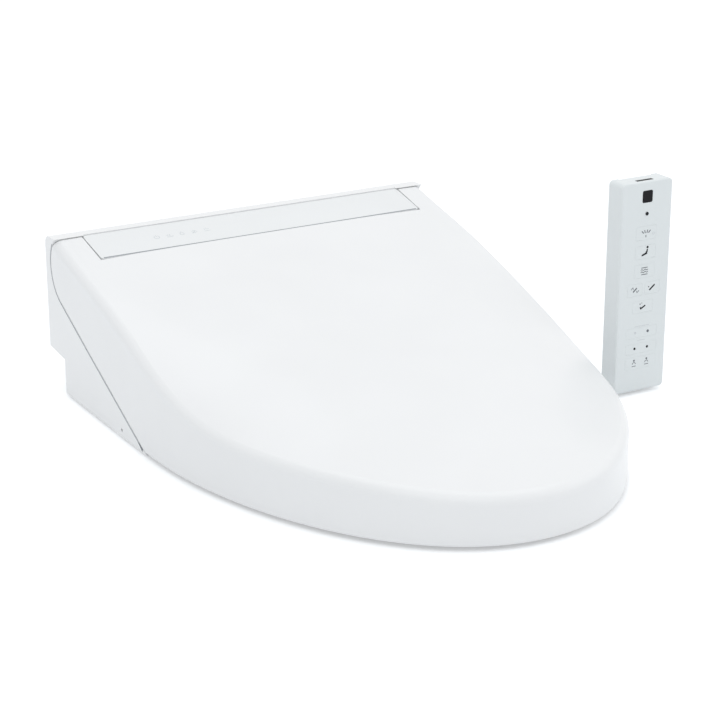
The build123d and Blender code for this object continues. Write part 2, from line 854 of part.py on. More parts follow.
def deck_plate(x0, x1, y0, y1, drop, thickness):
    """Plate on the deck's slope, its top moved down by the drop."""
    def height(y, down):
        return deck_front_z + (y - deck_front_y) * deck_slope - down
    points = [(y0, height(y0, drop)), (y1, height(y1, drop)), (y1, height(y1, drop + thickness)),
              (y0, height(y0, drop + thickness))]
    return slab(points, x0, x1)


def deck_panel():
    """Sloping control deck, thin where the indicator window shines through."""
    panel = deck_plate(-deck_half_width + deck_gap, deck_half_width - deck_gap, deck_front_y + deck_gap,
                       deck_rear_y - deck_gap, deck_recess, deck_thickness - 0.1)
    panel = soften(panel, 3, lambda edge: abs(edge.length - deck_thickness + 0.1) < 0.05)
    return panel - deck_plate(window_x0, window_x1, window_y0, window_y1, deck_recess + window_skin,
                              deck_thickness + 2)


def indicator_window():
    """Translucent window between the deck's thin skin and the indicator lamps."""
    gap = window_gap
    return deck_plate(window_x0 + gap, window_x1 - gap, window_y0 + gap, window_y1 - gap,
                      deck_recess + window_skin + gap, deck_thickness - window_skin - 2 * gap)


def display_board():
    """Indicator board under the window, with a row of lamps."""
    depth = deck_recess + deck_thickness
    board = deck_plate(window_x0 - 6, window_x1 + 6, window_y0 - 6, window_y1 + 3,
                       depth + 2.2, display_thickness)
    step = (window_x1 - window_x0) / lamp_count
    for lamp in range(lamp_count):
        x = window_x0 + step * (lamp + 0.5)
        y = window_y0 + 5
        board += deck_plate(x - lamp_size / 2, x + lamp_size / 2, y, y + lamp_size, depth + stand_off, 2.1)
    return board


def hinge_pins():
    """Steel pins that carry seat and lid on both sides."""
    return both_sides(cross_rod(pin_radius, pin_inner_x, unit_half_width - lid_wall, hinge_y, hinge_z))


def damper(side):
    """Soft-close damper on the inner end of one hinge pin."""
    body = cross_rod(damper_radius, pin_inner_x - damper_length, pin_inner_x, hinge_y, hinge_z)
    collar = cross_rod(damper_radius - 2, pin_inner_x, pin_inner_x + 6, hinge_y, hinge_z)
    collar -= cross_rod(pin_radius, pin_inner_x, pin_inner_x + 6, hinge_y, hinge_z)
    flange = block(pin_inner_x - 4, pin_inner_x, hinge_y - 12, hinge_y + 12, hinge_z - 13, hinge_z - 3)
    whole = body + flange + collar
    return whole if side > 0 else mirror(whole, about=Plane.YZ)


def underside_rod(radius, x, z0, z1):
    """Upright round bar on the line of the supply connections."""
    return rod(radius, (x, underside_y, z0), (x, underside_y, z1))


def water_inlet_fitting():
    """Threaded union for the supply hose, pointing down under the overhang."""
    thread_top = overhang_z - 3.5
    thread_end = thread_top - inlet_length
    seat_z = overhang_z + case_wall + stand_off
    top = overhang_z + 8
    stub = underside_rod(inlet_radius, inlet_x, thread_end, thread_top)
    collar = underside_rod(inlet_radius + inlet_collar_wall, inlet_x, thread_top, top)
    flange = underside_rod(inlet_radius + inlet_flange_wall, inlet_x, seat_z, top)
    return stub + collar + flange - underside_rod(inlet_bore_radius, inlet_x, thread_end - 1, overhang_z + 5)


def power_cord_gland():
    """Strain relief socket of the supply cord."""
    bottom = overhang_z - 9
    top = overhang_z + 6
    body = underside_rod(gland_radius, gland_x, bottom, top)
    flange = underside_rod(gland_radius + gland_flange_wall, gland_x, overhang_z + case_wall + stand_off, top)
    return body + flange - underside_rod(gland_bore_radius, gland_x, bottom - 1, top + 1)


def water_valve():
    """Inlet valve block with its solenoid."""
    low = overhang_z + 8.2
    high = 62
    body = rounded_block(inlet_x - 14, inlet_x + 14, underside_y - 14, underside_y + 11, low, high, 4)
    coil = rod(9, (inlet_x, underside_y - 2, high), (inlet_x, underside_y - 2, high + 22))
    outlet = cross_rod(pipe_radius, inlet_x - 24, inlet_x - 14, underside_y - 4, high - 8)
    return body + coil + outlet


def water_tank():
    """Heater tank with a domed top and ribs."""
    tank = rounded_block(tank_x0, tank_x1, tank_y0, tank_y1, tank_z0, tank_z1, 10)
    tank = fillet(tank.faces().sort_by(Axis.Z)[-1].edges(), 6)
    for x in (tank_x0 + 18, (tank_x0 + tank_x1) / 2, tank_x1 - 18):
        tank += block(x - 1, x + 1, tank_y0 - tank_rib_depth, tank_y1 + tank_rib_depth,
                      tank_z0 + 10, tank_z1 - 10)
    tank += cross_rod(pipe_radius, tank_x1, tank_x1 + 12, tank_y0 + 18, tank_z0 + 14)
    return tank


def water_pump():
    """Pump with its motor behind the wand's left side."""
    motor_x = pump_x + pump_head_length
    end_x = motor_x + pump_motor_length
    head = cross_rod(pump_head_radius, pump_x, motor_x, pump_y, pump_z)
    motor = cross_rod(pump_motor_radius, motor_x, end_x, pump_y, pump_z)
    foot = block(pump_x + 2, end_x - 4, pump_y - 12, pump_y + 12, channel_top_z + stand_off, pump_z - 8)
    return head + motor + foot


def power_supply():
    """Potted supply module with cooling fins."""
    body = rounded_block(supply_x0, supply_x1, supply_y0, supply_y1, supply_z0, supply_z1, 3)
    for fin in range(supply_fins):
        y = supply_y0 + 4 + fin * 9
        body += block(supply_x0 + 3, supply_x1 - 3, y, y + 2, supply_z1 - 1, supply_z1 + 5)
    return body


def control_board():
    """Main board with its larger components."""
    top = control_board_z + control_board_thickness
    seat_z = top - 0.1
    board = block(control_board_x0, control_board_x1, control_board_y0, control_board_y1,
                  control_board_z, top)
    board += rounded_block(-60, -36, 14, 34, seat_z, 108, 2)
    for x in (10, 28):
        board += rod(6, (x, 24, seat_z), (x, 24, 112))
    board += block(60, 92, 14, 32, seat_z, 106)
    return board


# ---- wand drive -------------------------------------------------------------
def wand_rack():
    """Toothed rack under the wand."""
    teeth = int((wand_travel + 16) / rack_pitch)
    half_low = rack_pitch / 4 - tooth_play + rack_module * tan(radians(tooth_angle))
    half_high = rack_pitch / 4 - tooth_play - rack_module * 0.9 * tan(radians(tooth_angle))
    bar_top = wand_radius - 1.2
    first = rack_start - 2.2
    corners = [wand_point(rack_start, bar_top), wand_point(rack_start, rack_root_drop)]
    for index in range(teeth):
        centre = first - index * rack_pitch
        corners.append(wand_point(centre + half_low, rack_root_drop))
        corners.append(wand_point(centre + half_high, rack_tip_drop))
        corners.append(wand_point(centre - half_high, rack_tip_drop))
        corners.append(wand_point(centre - half_low, rack_root_drop))
    last = first - teeth * rack_pitch
    corners += [wand_point(last, rack_root_drop), wand_point(last, bar_top)]
    return slab(corners, -pinion_width / 2, pinion_width / 2)


def wand_tube():
    """Hollow wand with its rack."""
    tube = wand_rod(wand_radius, rack_start, -wand_length)
    return tube + wand_rack() - wand_rod(wand_bore, -wand_setback - 10, -wand_length - 1)


def wand_tip():
    """Rounded spray head with three nozzle holes."""
    head = wand_rod(wand_radius, -wand_setback, -wand_setback - tip_length)
    head = fillet(head.edges().sort_by(Axis.Y)[0], 3.5)
    for along in (6.0, 8.6, 11.2):
        y0, z0 = wand_point(-wand_setback - along)
        y1, z1 = wand_point(-wand_setback - along, -wand_radius - 1)
        head -= rod(nozzle_radius, (0, y0, z0), (0, y1, z1))
    return head


def pinion_centre():
    """Axis of the pinion, square below the wand."""
    return wand_point(rack_start - 2.2 - 2.5 * rack_pitch, rack_pitch_drop + pinion_pitch_radius)


def wand_pinion():
    """Straight-cut pinion that drives the rack."""
    centre_y, centre_z = pinion_centre()
    up = atan2(-wand_below[1], -wand_below[0])
    corners = []
    outer = pinion_pitch_radius + rack_module * 0.85
    root = pinion_pitch_radius - rack_module * 1.2
    tooth = 2 * pi / pinion_teeth
    shape = ((root, -0.30), (pinion_pitch_radius, -0.215), (outer, -0.085),
             (outer, 0.085), (pinion_pitch_radius, 0.215), (root, 0.30))
    for index in range(pinion_teeth):
        for radius, share in shape:
            angle = up + (index + share) * tooth
            corners.append((centre_y + radius * cos(angle), centre_z + radius * sin(angle)))
    gear = slab(corners, -pinion_width / 2, pinion_width / 2)
    shaft = cross_rod(shaft_radius, -pinion_width / 2 - 5, pinion_width / 2 + 9, centre_y, centre_z)
    return gear + shaft


def wand_motor():
    """Geared motor beside the wand guide."""
    y, z = pinion_centre()
    start = pinion_width / 2 + 5.5
    gearbox = cross_rod(9, start, start + 9, y, z)
    motor = cross_rod(8, start + 9, start + 27, y, z)
    return gearbox + motor - cross_rod(shaft_radius + 0.3, start - 1, start + 5, y, z)


def below_wand(start, end, top, bottom, half_width):
    """Slab on the wand's axis between two depths below it."""
    upper = [wand_point(start, top), wand_point(end, top)]
    lower = [wand_point(end, bottom), wand_point(start, bottom)]
    return slab(upper + lower, -half_width, half_width)


def wand_guide():
    """Open cradle that guides the wand, with a slot for the pinion."""
    slot_half = pinion_width / 2 + wand_play
    mouth = -wand_setback - 1
    end = -wand_length - 10
    bore = wand_rod(wand_radius + wand_play, 5, -wand_length - 20)
    guide = wand_rod(wand_radius + 3, -wand_setback - 5, -wand_length - 8) - bore
    guide -= below_wand(mouth, end, -2.5, -20, 20)
    guide -= below_wand(mouth, end, 0, 20, slot_half)
    for along in (-52.0, -100.0):
        y, z = wand_point(along)
        post = block(-wand_radius - 3, wand_radius + 3, y - 2, y + 2, channel_top_z + stand_off, z)
        slot = block(-slot_half, slot_half, y - 9, y + 9, z - 14, z)
        guide += post - bore - slot
    return guide


# ---- dryer and deodorizer ---------------------------------------------------
def fan_wheel(x0, x1, y, z, radius, blades):
    """Centrifugal wheel with swept blades between a back plate and a ring."""
    wheel = cross_rod(radius, x0, x0 + 1.4, y, z) + cross_rod(radius * 0.3, x0, x1 - 2, y, z)
    wheel -= cross_rod(1.6, x0 - 1, x1, y, z)
    ring = cross_rod(radius, x1 - 1.2, x1, y, z) - cross_rod(radius * 0.82, x1 - 2, x1 + 1, y, z)
    wheel += ring
    for index in range(blades):
        angle = 2 * pi * index / blades
        tail = angle + 0.25
        inner = (y + radius * 0.68 * cos(angle), z + radius * 0.68 * sin(angle))
        outer = (y + radius * 0.985 * cos(tail), z + radius * 0.985 * sin(tail))
        thick = (-(outer[1] - inner[1]), outer[0] - inner[0])
        size = hypot(*thick) / 0.9
        side = (thick[0] / size, thick[1] / size)
        wheel += slab([inner, outer, (outer[0] + side[0], outer[1] + side[1]),
                       (inner[0] + side[0], inner[1] + side[1])], x0 + 1, x1 - 0.6)
    return wheel


def dryer_impeller():
    """Fan wheel of the dryer."""
    x0 = dryer_x - dryer_width / 2 + 4
    return fan_wheel(x0, x0 + dryer_width - 8, dryer_y, dryer_z, dryer_radius - 6, dryer_blades)


def dryer_housing():
    """Scroll housing with its duct to the outlet in the nose."""
    x0 = dryer_x - dryer_width / 2
    x1 = dryer_x + dryer_width / 2
    outer = cross_rod(dryer_radius, x0, x1, dryer_y, dryer_z)
    inner = cross_rod(dryer_radius - 2, x0 + 2, x1 - 2, dryer_y, dryer_z)
    top = face_point(flap_up + flap_height - 1, -case_wall - 1)
    bottom = face_point(flap_up + 1, -case_wall - 1)
    duct = slab([bottom, top, (dryer_y - 4, dryer_z + dryer_radius - 0.5),
                 (dryer_y, dryer_z - dryer_radius + 9)], x0, x1)
    bore = slab([(bottom[0] - 3, bottom[1] + 0.4), (top[0] - 3, top[1] - 4.2),
                 (dryer_y - 4, dryer_z + dryer_radius - 3),
                 (dryer_y, dryer_z - dryer_radius + 12)], x0 + 2, x1 - 2)
    inlet = cross_rod(dryer_radius * 0.55, x1 - 3, x1 + 1, dryer_y, dryer_z)
    shaft = cross_rod(1.35, x0, x0 + 12, dryer_y, dryer_z)
    return outer + duct - inner - bore - inlet + shaft


def dryer_heater():
    """Heating coil frame in the duct."""
    frame_x0 = dryer_x - dryer_width / 2 + 2.2
    frame_x1 = dryer_x + dryer_width / 2 - 2.2
    y = dryer_y - dryer_radius - 12
    bars = block(frame_x0, frame_x1, y, y + 4, 38, 39.6)
    bars += block(frame_x0, frame_x1, y, y + 4, 46, 47.6)
    for step in range(5):
        x = frame_x0 + 3 + step * (frame_x1 - frame_x0 - 6) / 4
        bars += rod(0.8, (x, y + 2, 39), (x, y + 2, 47))
    return bars


def dryer_flap():
    """Outlet flap hinged along its upper edge."""
    plate = face_slab(dryer_x - flap_width / 2, dryer_x + flap_width / 2, flap_up,
                      flap_up + flap_height - 1.5, -2, -0.2)
    y, z = flap_hinge()
    barrel = cross_rod(1.6, dryer_x - flap_width / 2, dryer_x + flap_width / 2, y, z)
    return plate + barrel


def flap_hinge():
    """Axis of the dryer flap."""
    return face_point(flap_up + flap_height - 1.6, -1.6)


def fan_axis():
    """Axis of the deodorizer fan."""
    return cartridge_y, side_opening_z + cartridge_height / 2


def deodorizer_housing():
    """Fan case and the bay that the cartridge slides into."""
    y, z = fan_axis()
    fan_case = cross_rod(fan_radius + 3, fan_x, fan_x + fan_width, y, z)
    fan_case -= cross_rod(fan_radius + 1.4, fan_x + 1.6, fan_x + fan_width + 1, y, z)
    fan_case += cross_rod(1.2, fan_x, fan_x + 9, y, z)
    gap = 0.5
    x0 = fan_x + fan_width
    half = cartridge_width / 2
    floor_z = side_opening_z - gap - 1.6
    bay = block(x0, unit_half_width - case_wall - 0.5, y - half - gap - 1.6, y + half + gap + 1.6, floor_z,
                side_opening_z + cartridge_height + gap + 1.6)
    bay -= block(x0 + 2, far, y - half - gap, y + half + gap, side_opening_z - gap,
                 side_opening_z + cartridge_height + gap)
    bay -= cross_rod(fan_radius - 2, x0 - 1, x0 + 4, y, z)
    return fan_case + bay


def deodorizer_impeller():
    """Small fan wheel of the deodorizer."""
    y, z = fan_axis()
    return fan_wheel(fan_x + 2.4, fan_x + fan_width - 1, y, z, fan_radius, 11)


def deodorizer_cartridge():
    """Filter cartridge with a grilled end and a finger catch."""
    half = cartridge_width / 2
    box = block(cartridge_x, unit_half_width, cartridge_y - half, cartridge_y + half, side_opening_z,
                side_opening_z + cartridge_height)
    box &= plan_prism(0, unit_rear_y, -far, far)
    core = block(cartridge_x + 8, unit_half_width - 4, cartridge_y - half + 2, cartridge_y + half - 2,
                 side_opening_z + 2, side_opening_z + cartridge_height + 1)
    slots = []
    for slot in range(5):
        y = cartridge_y - half + 5 + slot * 5
        slots.append(block(unit_half_width - 9, far, y - 0.9, y + 0.9, side_opening_z + 7,
                           side_opening_z + cartridge_height - 3))
    windows = block(cartridge_x - 1, cartridge_x + 9, cartridge_y - half + 5, cartridge_y + half - 5,
                    side_opening_z + 4, side_opening_z + cartridge_height - 4)
    lip = block(unit_half_width - 2.5, far, cartridge_y - 7, cartridge_y + 7, side_opening_z - 1,
                side_opening_z + 3)
    return box - core - slots - windows - lip


def release_button():
    """Push button that frees the unit from its base plate."""
    cap = block(unit_half_width - 9, unit_half_width + 3, button_y - button_width / 2,
                button_y + button_width / 2, button_z - button_height / 2, button_z + button_height / 2)
    cap &= plan_prism(0, unit_rear_y, -far, far)
    stem = block(unit_half_width - 24, unit_half_width - 9, button_y - 4, button_y + 4, button_z - 2.5,
                 button_z + 2.5)
    flange = block(unit_half_width - 16.5, unit_half_width - 15, button_y - 9, button_y + 9,
                   button_z - 5, button_z + 5)
    return soften(cap, 1.5, lambda edge: edge.length < 14 and edge.center().X > unit_half_width - 8
                  and abs(edge.center().X - unit_half_width + 3) > 2.9) + stem + flange


def drain_plug():
    """Drain plug with a coin slot, turned to open."""
    head = cross_rod(drain_radius, unit_half_width - 5, unit_half_width + 3, drain_y, drain_z)
    head &= plan_prism(0, unit_rear_y, -far, far)
    stem = cross_rod(3.5, unit_half_width - 26, unit_half_width - 5, drain_y, drain_z)
    ring = cross_rod(4.6, unit_half_width - 22, unit_half_width - 20, drain_y, drain_z)
    slot = block(unit_half_width - 1.6, far, drain_y - 4.2, drain_y + 4.2, drain_z - 0.9, drain_z + 0.9)
    return head + stem + ring - slot


# ---- base -------------------------------------------------------------------
def base_plate():
    """Plate fixed to the toilet, with two T rails and long bolt openings."""
    half = base_half_width - 8
    plate = rounded_block(-half, half, base_front_y, base_rear_y, 0, base_thickness, 8)
    for rail in both_sides(slide_rail()):
        plate += rail
    for x in (-bolt_spacing / 2, bolt_spacing / 2):
        plate -= Pos(x, 0, -1) * extrude(SlotOverall(34, 16, rotation=90), base_thickness + 2)
        for y in (-19, 19):
            groove = Pos(x, y, base_thickness - 0.8) * Box(30, 1.2, 2)
            plate -= groove
    plate += block(-22, 22, base_front_y + 6, base_front_y + 9, base_thickness - 0.5, 6.5)
    plate += block(-22, 22, base_rear_y - 9, base_rear_y - 6, base_thickness - 0.5, 6.5)
    return plate


def slide_rail():
    """One T rail of the base plate."""
    web = block(base_half_width - 13, base_half_width - 8, base_front_y, base_rear_y, 0, rail_height)
    flange = block(base_half_width - 13, base_half_width, base_front_y, base_rear_y,
                   rail_height - flange_thickness, rail_height)
    return web + flange


def bolt_plates():
    """Adjusting plates that sit in the base plate's openings."""
    plates = []
    for x in (-bolt_spacing / 2, bolt_spacing / 2):
        flange = Pos(x, 0, base_thickness) * extrude(RectangleRounded(24, 42, 5), 2.2)
        guide = Pos(x, 0, 0) * extrude(SlotOverall(24, 15, rotation=90), base_thickness)
        bore = rod(bolt_hole_radius, (x, 0, -1), (x, 0, base_thickness + 3))
        plates.append(flange + guide - bore)
    return plates


# ---- handset ----------------------------------------------------------------
def handset_form(shrink, y0, y1):
    """Slim rounded body of the handset between two depths."""
    plan = RectangleRounded(handset_width - 2 * shrink, handset_height - 2 * shrink,
                            handset_corner - shrink * 0.6)
    middle_z = handset_bottom_z + handset_height / 2
    face = Plane(origin=(handset_x, y1, middle_z), x_dir=(1, 0, 0), z_dir=(0, -1, 0)) * plan
    return extrude(face, y1 - y0, dir=(0, -1, 0))


def key_height(share):
    """Height on the handset of a key, as a share of its length from the top."""
    return handset_bottom_z + handset_height * (1 - share)


key_plan = {
    "key_stop": (0.0, 0.07, 11.0, 11.0),
    "key_rear_wash": (0.0, 0.24, 22.0, 12.0),
    "key_front_wash": (0.0, 0.33, 22.0, 12.0),
    "key_soft_wash": (0.0, 0.42, 22.0, 12.0),
    "key_oscillate": (-9.5, 0.505, 16.0, 11.0),
    "key_pulse": (9.5, 0.505, 16.0, 11.0),
    "key_dryer": (0.0, 0.59, 22.0, 11.0),
    "key_pressure": (0.0, 0.714, 34.0, 9.0),
    "key_position": (0.0, 0.79, 34.0, 9.0),
    "key_user": (0.0, 0.86, 34.0, 11.0),
}


def key_prism(name, grow, y0, y1):
    """Rounded key body between two depths."""
    x, share, width, height = key_plan[name]
    plane = Plane(origin=(handset_x + x, y1, key_height(share)), x_dir=(1, 0, 0), z_dir=(0, -1, 0))
    plan = RectangleRounded(width + 2 * grow, height + 2 * grow, key_radius + grow * 0.5)
    return extrude(plane * plan, y1 - y0, dir=(0, -1, 0))


def handset_key(name):
    """One key: cap through the front shell and a flange behind it."""
    inside = handset_front_y + key_skin
    cap = key_prism(name, 0, handset_front_y, inside + 0.4)
    return cap + key_prism(name, key_flange, inside + 0.3, inside + key_stack)


def remote_front_shell():
    """Front shell with its key openings."""
    shell = handset_form(0, handset_front_y, handset_split_y)
    shell = fillet(shell.faces().sort_by(Axis.Y)[0].edges(), handset_edge_radius)
    inside = handset_front_y + handset_wall
    shell -= handset_form(handset_wall, inside, handset_split_y + 1)
    shell -= block(handset_x - 21, handset_x + 21, handset_front_y + key_skin, inside + 1, key_height(0.91),
                   key_height(0.025))
    for name in key_plan:
        shell -= key_prism(name, key_gap, handset_front_y - 2, inside + 1)
    shell -= lamp_rod(lamp_radius + lamp_gap, handset_front_y - 1, inside + 1)
    shell -= window_block(window_gap)
    return shell


def lamp_rod(radius, y0, y1):
    """Round bar on the axis of the sending lamp, below the stop key."""
    z = key_height(lamp_share)
    return rod(radius, (handset_x, y0, z), (handset_x, y1, z))


def window_block(gap):
    """Place of the infrared window in the top end."""
    return block(handset_x - 9 - gap, handset_x + 9 + gap, handset_front_y + 4 - gap,
                 handset_front_y + 8 + gap, handset_top_z - handset_wall - 1, handset_top_z + 1)


def remote_ir_window():
    """Infrared window in the top end."""
    return window_block(0) & block(0, far, -far, 0, 0, handset_top_z)


def rail_form(grow):
    """T rail that the handset hangs on."""
    neck_half = rail_neck_half_width + grow
    flange_half = rail_flange_half_width + grow
    neck = block(handset_x - neck_half, handset_x + neck_half, handset_back_y - 3.2,
                 handset_back_y + bracket_gap, rail_bottom_z, rail_top_z + grow)
    flange = block(handset_x - flange_half, handset_x + flange_half,
                   handset_back_y - 2.8 - flange_thickness - grow, handset_back_y - 2.8 + grow,
                   rail_bottom_z, rail_top_z + grow)
    return neck + flange


def battery_cover_form(grow):
    """Sliding cover in the back, open towards the top end."""
    half = battery_cover_width / 2 + grow
    return block(handset_x - half, handset_x + half, handset_back_y - battery_cover_thickness - grow,
                 handset_back_y, battery_cover_bottom_z - grow, handset_top_z - handset_corner)


def remote_back_shell():
    """Back shell with the rail slot and the battery bay."""
    shell = handset_form(0, handset_split_y, handset_back_y)
    hollow = handset_form(handset_wall, handset_split_y - 1, handset_back_y - handset_wall - 1.4)
    half = rail_flange_half_width + 3
    socket = block(handset_x - half, handset_x + half, handset_back_y - 7.6, handset_back_y - 3,
                   handset_bottom_z + 2, rail_top_z + 3)
    shell = shell - hollow + socket
    rail = rail_form(rail_play)
    shell -= rail + Pos(0, 0, rail_bottom_z - rail_top_z) * rail
    cover = battery_cover_form(battery_cover_gap)
    return shell - (cover + Pos(0, 0, 20) * cover)


def remote_battery_cover():
    """Battery cover with a thumb ridge."""
    cover = battery_cover_form(0)
    for step in range(4):
        z = battery_cover_bottom_z + 8 + step * 3
        cover -= block(handset_x - 8, handset_x + 8, handset_back_y - 0.6, handset_back_y + 1, z, z + 1.2)
    return cover


def remote_batteries():
    """Two small round cells."""
    cells = []
    y = board_y + board_thickness + 0.3 + battery_radius
    low = battery_cover_bottom_z + 4
    high = low + battery_length
    for x in (handset_x - 7, handset_x + 7):
        body = rod(battery_radius, (x, y, low), (x, y, high))
        button = rod(1.9, (x, y, high), (x, y, high + 1))
        cells.append(body + button)
    return cells


def remote_board():
    """Circuit board with the sending lamp."""
    half = handset_width / 2 - handset_wall - 1.5
    board = block(handset_x - half, handset_x + half, board_y, board_y + board_thickness,
                  handset_bottom_z + board_margin, handset_top_z - board_margin)
    return board + lamp_rod(lamp_radius, handset_front_y - 0.1, board_y + 0.2)


def remote_wall_bracket():
    """Wall plate of the handset, with its T rail and two screw holes."""
    back = handset_back_y + bracket_gap
    plate = block(handset_x - bracket_half_width, handset_x + bracket_half_width, back,
                  back + bracket_thickness, 0, bracket_height)
    plate = soften(plate, 3, lambda edge: abs(edge.length - bracket_thickness) < 0.01
                   and edge.center().Z > bracket_height / 2)
    plate += rail_form(0) & block(0, far, -far, back + 0.1, 0, far)
    for z in (16.0, bracket_height - 8):
        plate -= rod(bracket_screw_radius, (handset_x, back - 1, z),
                     (handset_x, back + bracket_thickness + 1, z))
    return plate


# ---- list of nodes ----------------------------------------------------------
nodes = {
    "base_plate": base_plate,
    "bolt_plates": bolt_plates,
    "remote_wall_bracket": remote_wall_bracket,
    "upper_case": upper_case,
    "lower_case": lower_case,
    "front_cover": front_cover,
    "deck_panel": deck_panel,
    "indicator_window": indicator_window,
    "display_board": display_board,
    "control_board": control_board,
    "power_supply": power_supply,
    "water_valve": water_valve,
    "water_tank": water_tank,
    "water_pump": water_pump,
    "wand_guide": wand_guide,
    "wand_motor": wand_motor,
    "wand_wiper_seal": wand_wiper_seal,
    "dryer_housing": dryer_housing,
    "dryer_heater": dryer_heater,
    "deodorizer_housing": deodorizer_housing,
    "hinge_pins": hinge_pins,
    "lid_damper": lambda: damper(-1),
    "seat_damper": lambda: damper(1),
    "unit_pads": unit_pads,
    "water_inlet_fitting": water_inlet_fitting,
    "power_cord_gland": power_cord_gland,
    "case_screws": case_screws,
    "release_button": release_button,
    "wand_tube": wand_tube,
    "wand_tip": wand_tip,
    "wand_pinion": wand_pinion,
    "dryer_impeller": dryer_impeller,
    "dryer_flap": dryer_flap,
    "deodorizer_impeller": deodorizer_impeller,
    "deodorizer_cartridge": deodorizer_cartridge,
    "drain_plug": drain_plug,
    "seat_top_shell": seat_top_shell,
    "seat_bottom_shell": seat_bottom_shell,
    "seat_heater": seat_heater,
    "seat_bumpers": seat_bumpers,
    "lid_shell": lid_shell,
    "lid_bumpers": lid_bumpers,
    "lid_hinge_bushes": lid_hinge_bushes,
    "remote_front_shell": remote_front_shell,
    "remote_back_shell": remote_back_shell,
    "remote_battery_cover": remote_battery_cover,
    "remote_batteries": remote_batteries,
    "remote_board": remote_board,
    "remote_ir_window": remote_ir_window,
}

os.makedirs("parts", exist_ok=True)
for node, build in nodes.items():
    made = build()
    if isinstance(made, (list, tuple)) and not hasattr(made, "wrapped"):
        made = Compound(children=[piece for item in made for piece in item.solids()])
    export_step(made, f"parts/{node}.step")
for node in key_plan:
    export_step(handset_key(node), f"parts/{node}.step")
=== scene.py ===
"""Looks of an electric bidet seat and its handset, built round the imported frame.

Lengths are in metres in the row frame: +Z is up and the seat's front points to -Y.
"""

import json
import logging
import math
from dataclasses import dataclass
from enum import Enum

import bmesh
import bpy
from mathutils import Matrix, Vector
from mathutils.bvhtree import BVHTree


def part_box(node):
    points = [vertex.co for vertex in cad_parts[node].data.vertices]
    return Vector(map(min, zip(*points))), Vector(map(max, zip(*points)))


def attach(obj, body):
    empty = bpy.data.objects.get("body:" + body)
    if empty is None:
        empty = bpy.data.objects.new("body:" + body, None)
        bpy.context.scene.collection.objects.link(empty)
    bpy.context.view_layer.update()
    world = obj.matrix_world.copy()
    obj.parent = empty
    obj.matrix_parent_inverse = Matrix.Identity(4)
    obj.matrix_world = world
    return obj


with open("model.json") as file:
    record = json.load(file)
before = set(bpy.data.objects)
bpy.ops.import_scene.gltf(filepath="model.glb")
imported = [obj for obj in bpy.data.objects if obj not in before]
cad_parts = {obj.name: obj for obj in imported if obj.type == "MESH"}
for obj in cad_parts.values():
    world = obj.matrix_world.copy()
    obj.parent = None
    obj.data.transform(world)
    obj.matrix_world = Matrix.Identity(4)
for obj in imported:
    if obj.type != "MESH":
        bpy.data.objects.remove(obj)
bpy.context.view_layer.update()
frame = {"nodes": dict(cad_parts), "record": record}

MM = 0.001
OFF = 20 * MM  # how far off a surface a ray towards it starts
WEAK, STRONG = 0.3, 0.7  # the part of a noise's range that a finish is spread over
DECK_LINE = 0.35  # line width of the deck's figures, in millimetres
INK_THICKNESS = 0.06 * MM
DOT_SIDES = 24
TOUCHING = 1e-6  # millimetres between the ends of a closed stroke
Colour = tuple[float, float, float]
Place = tuple[float, float, float]
Span = tuple[float, float]
Stroke = list[tuple[float, float]]
log = logging.getLogger("bidet_seat")


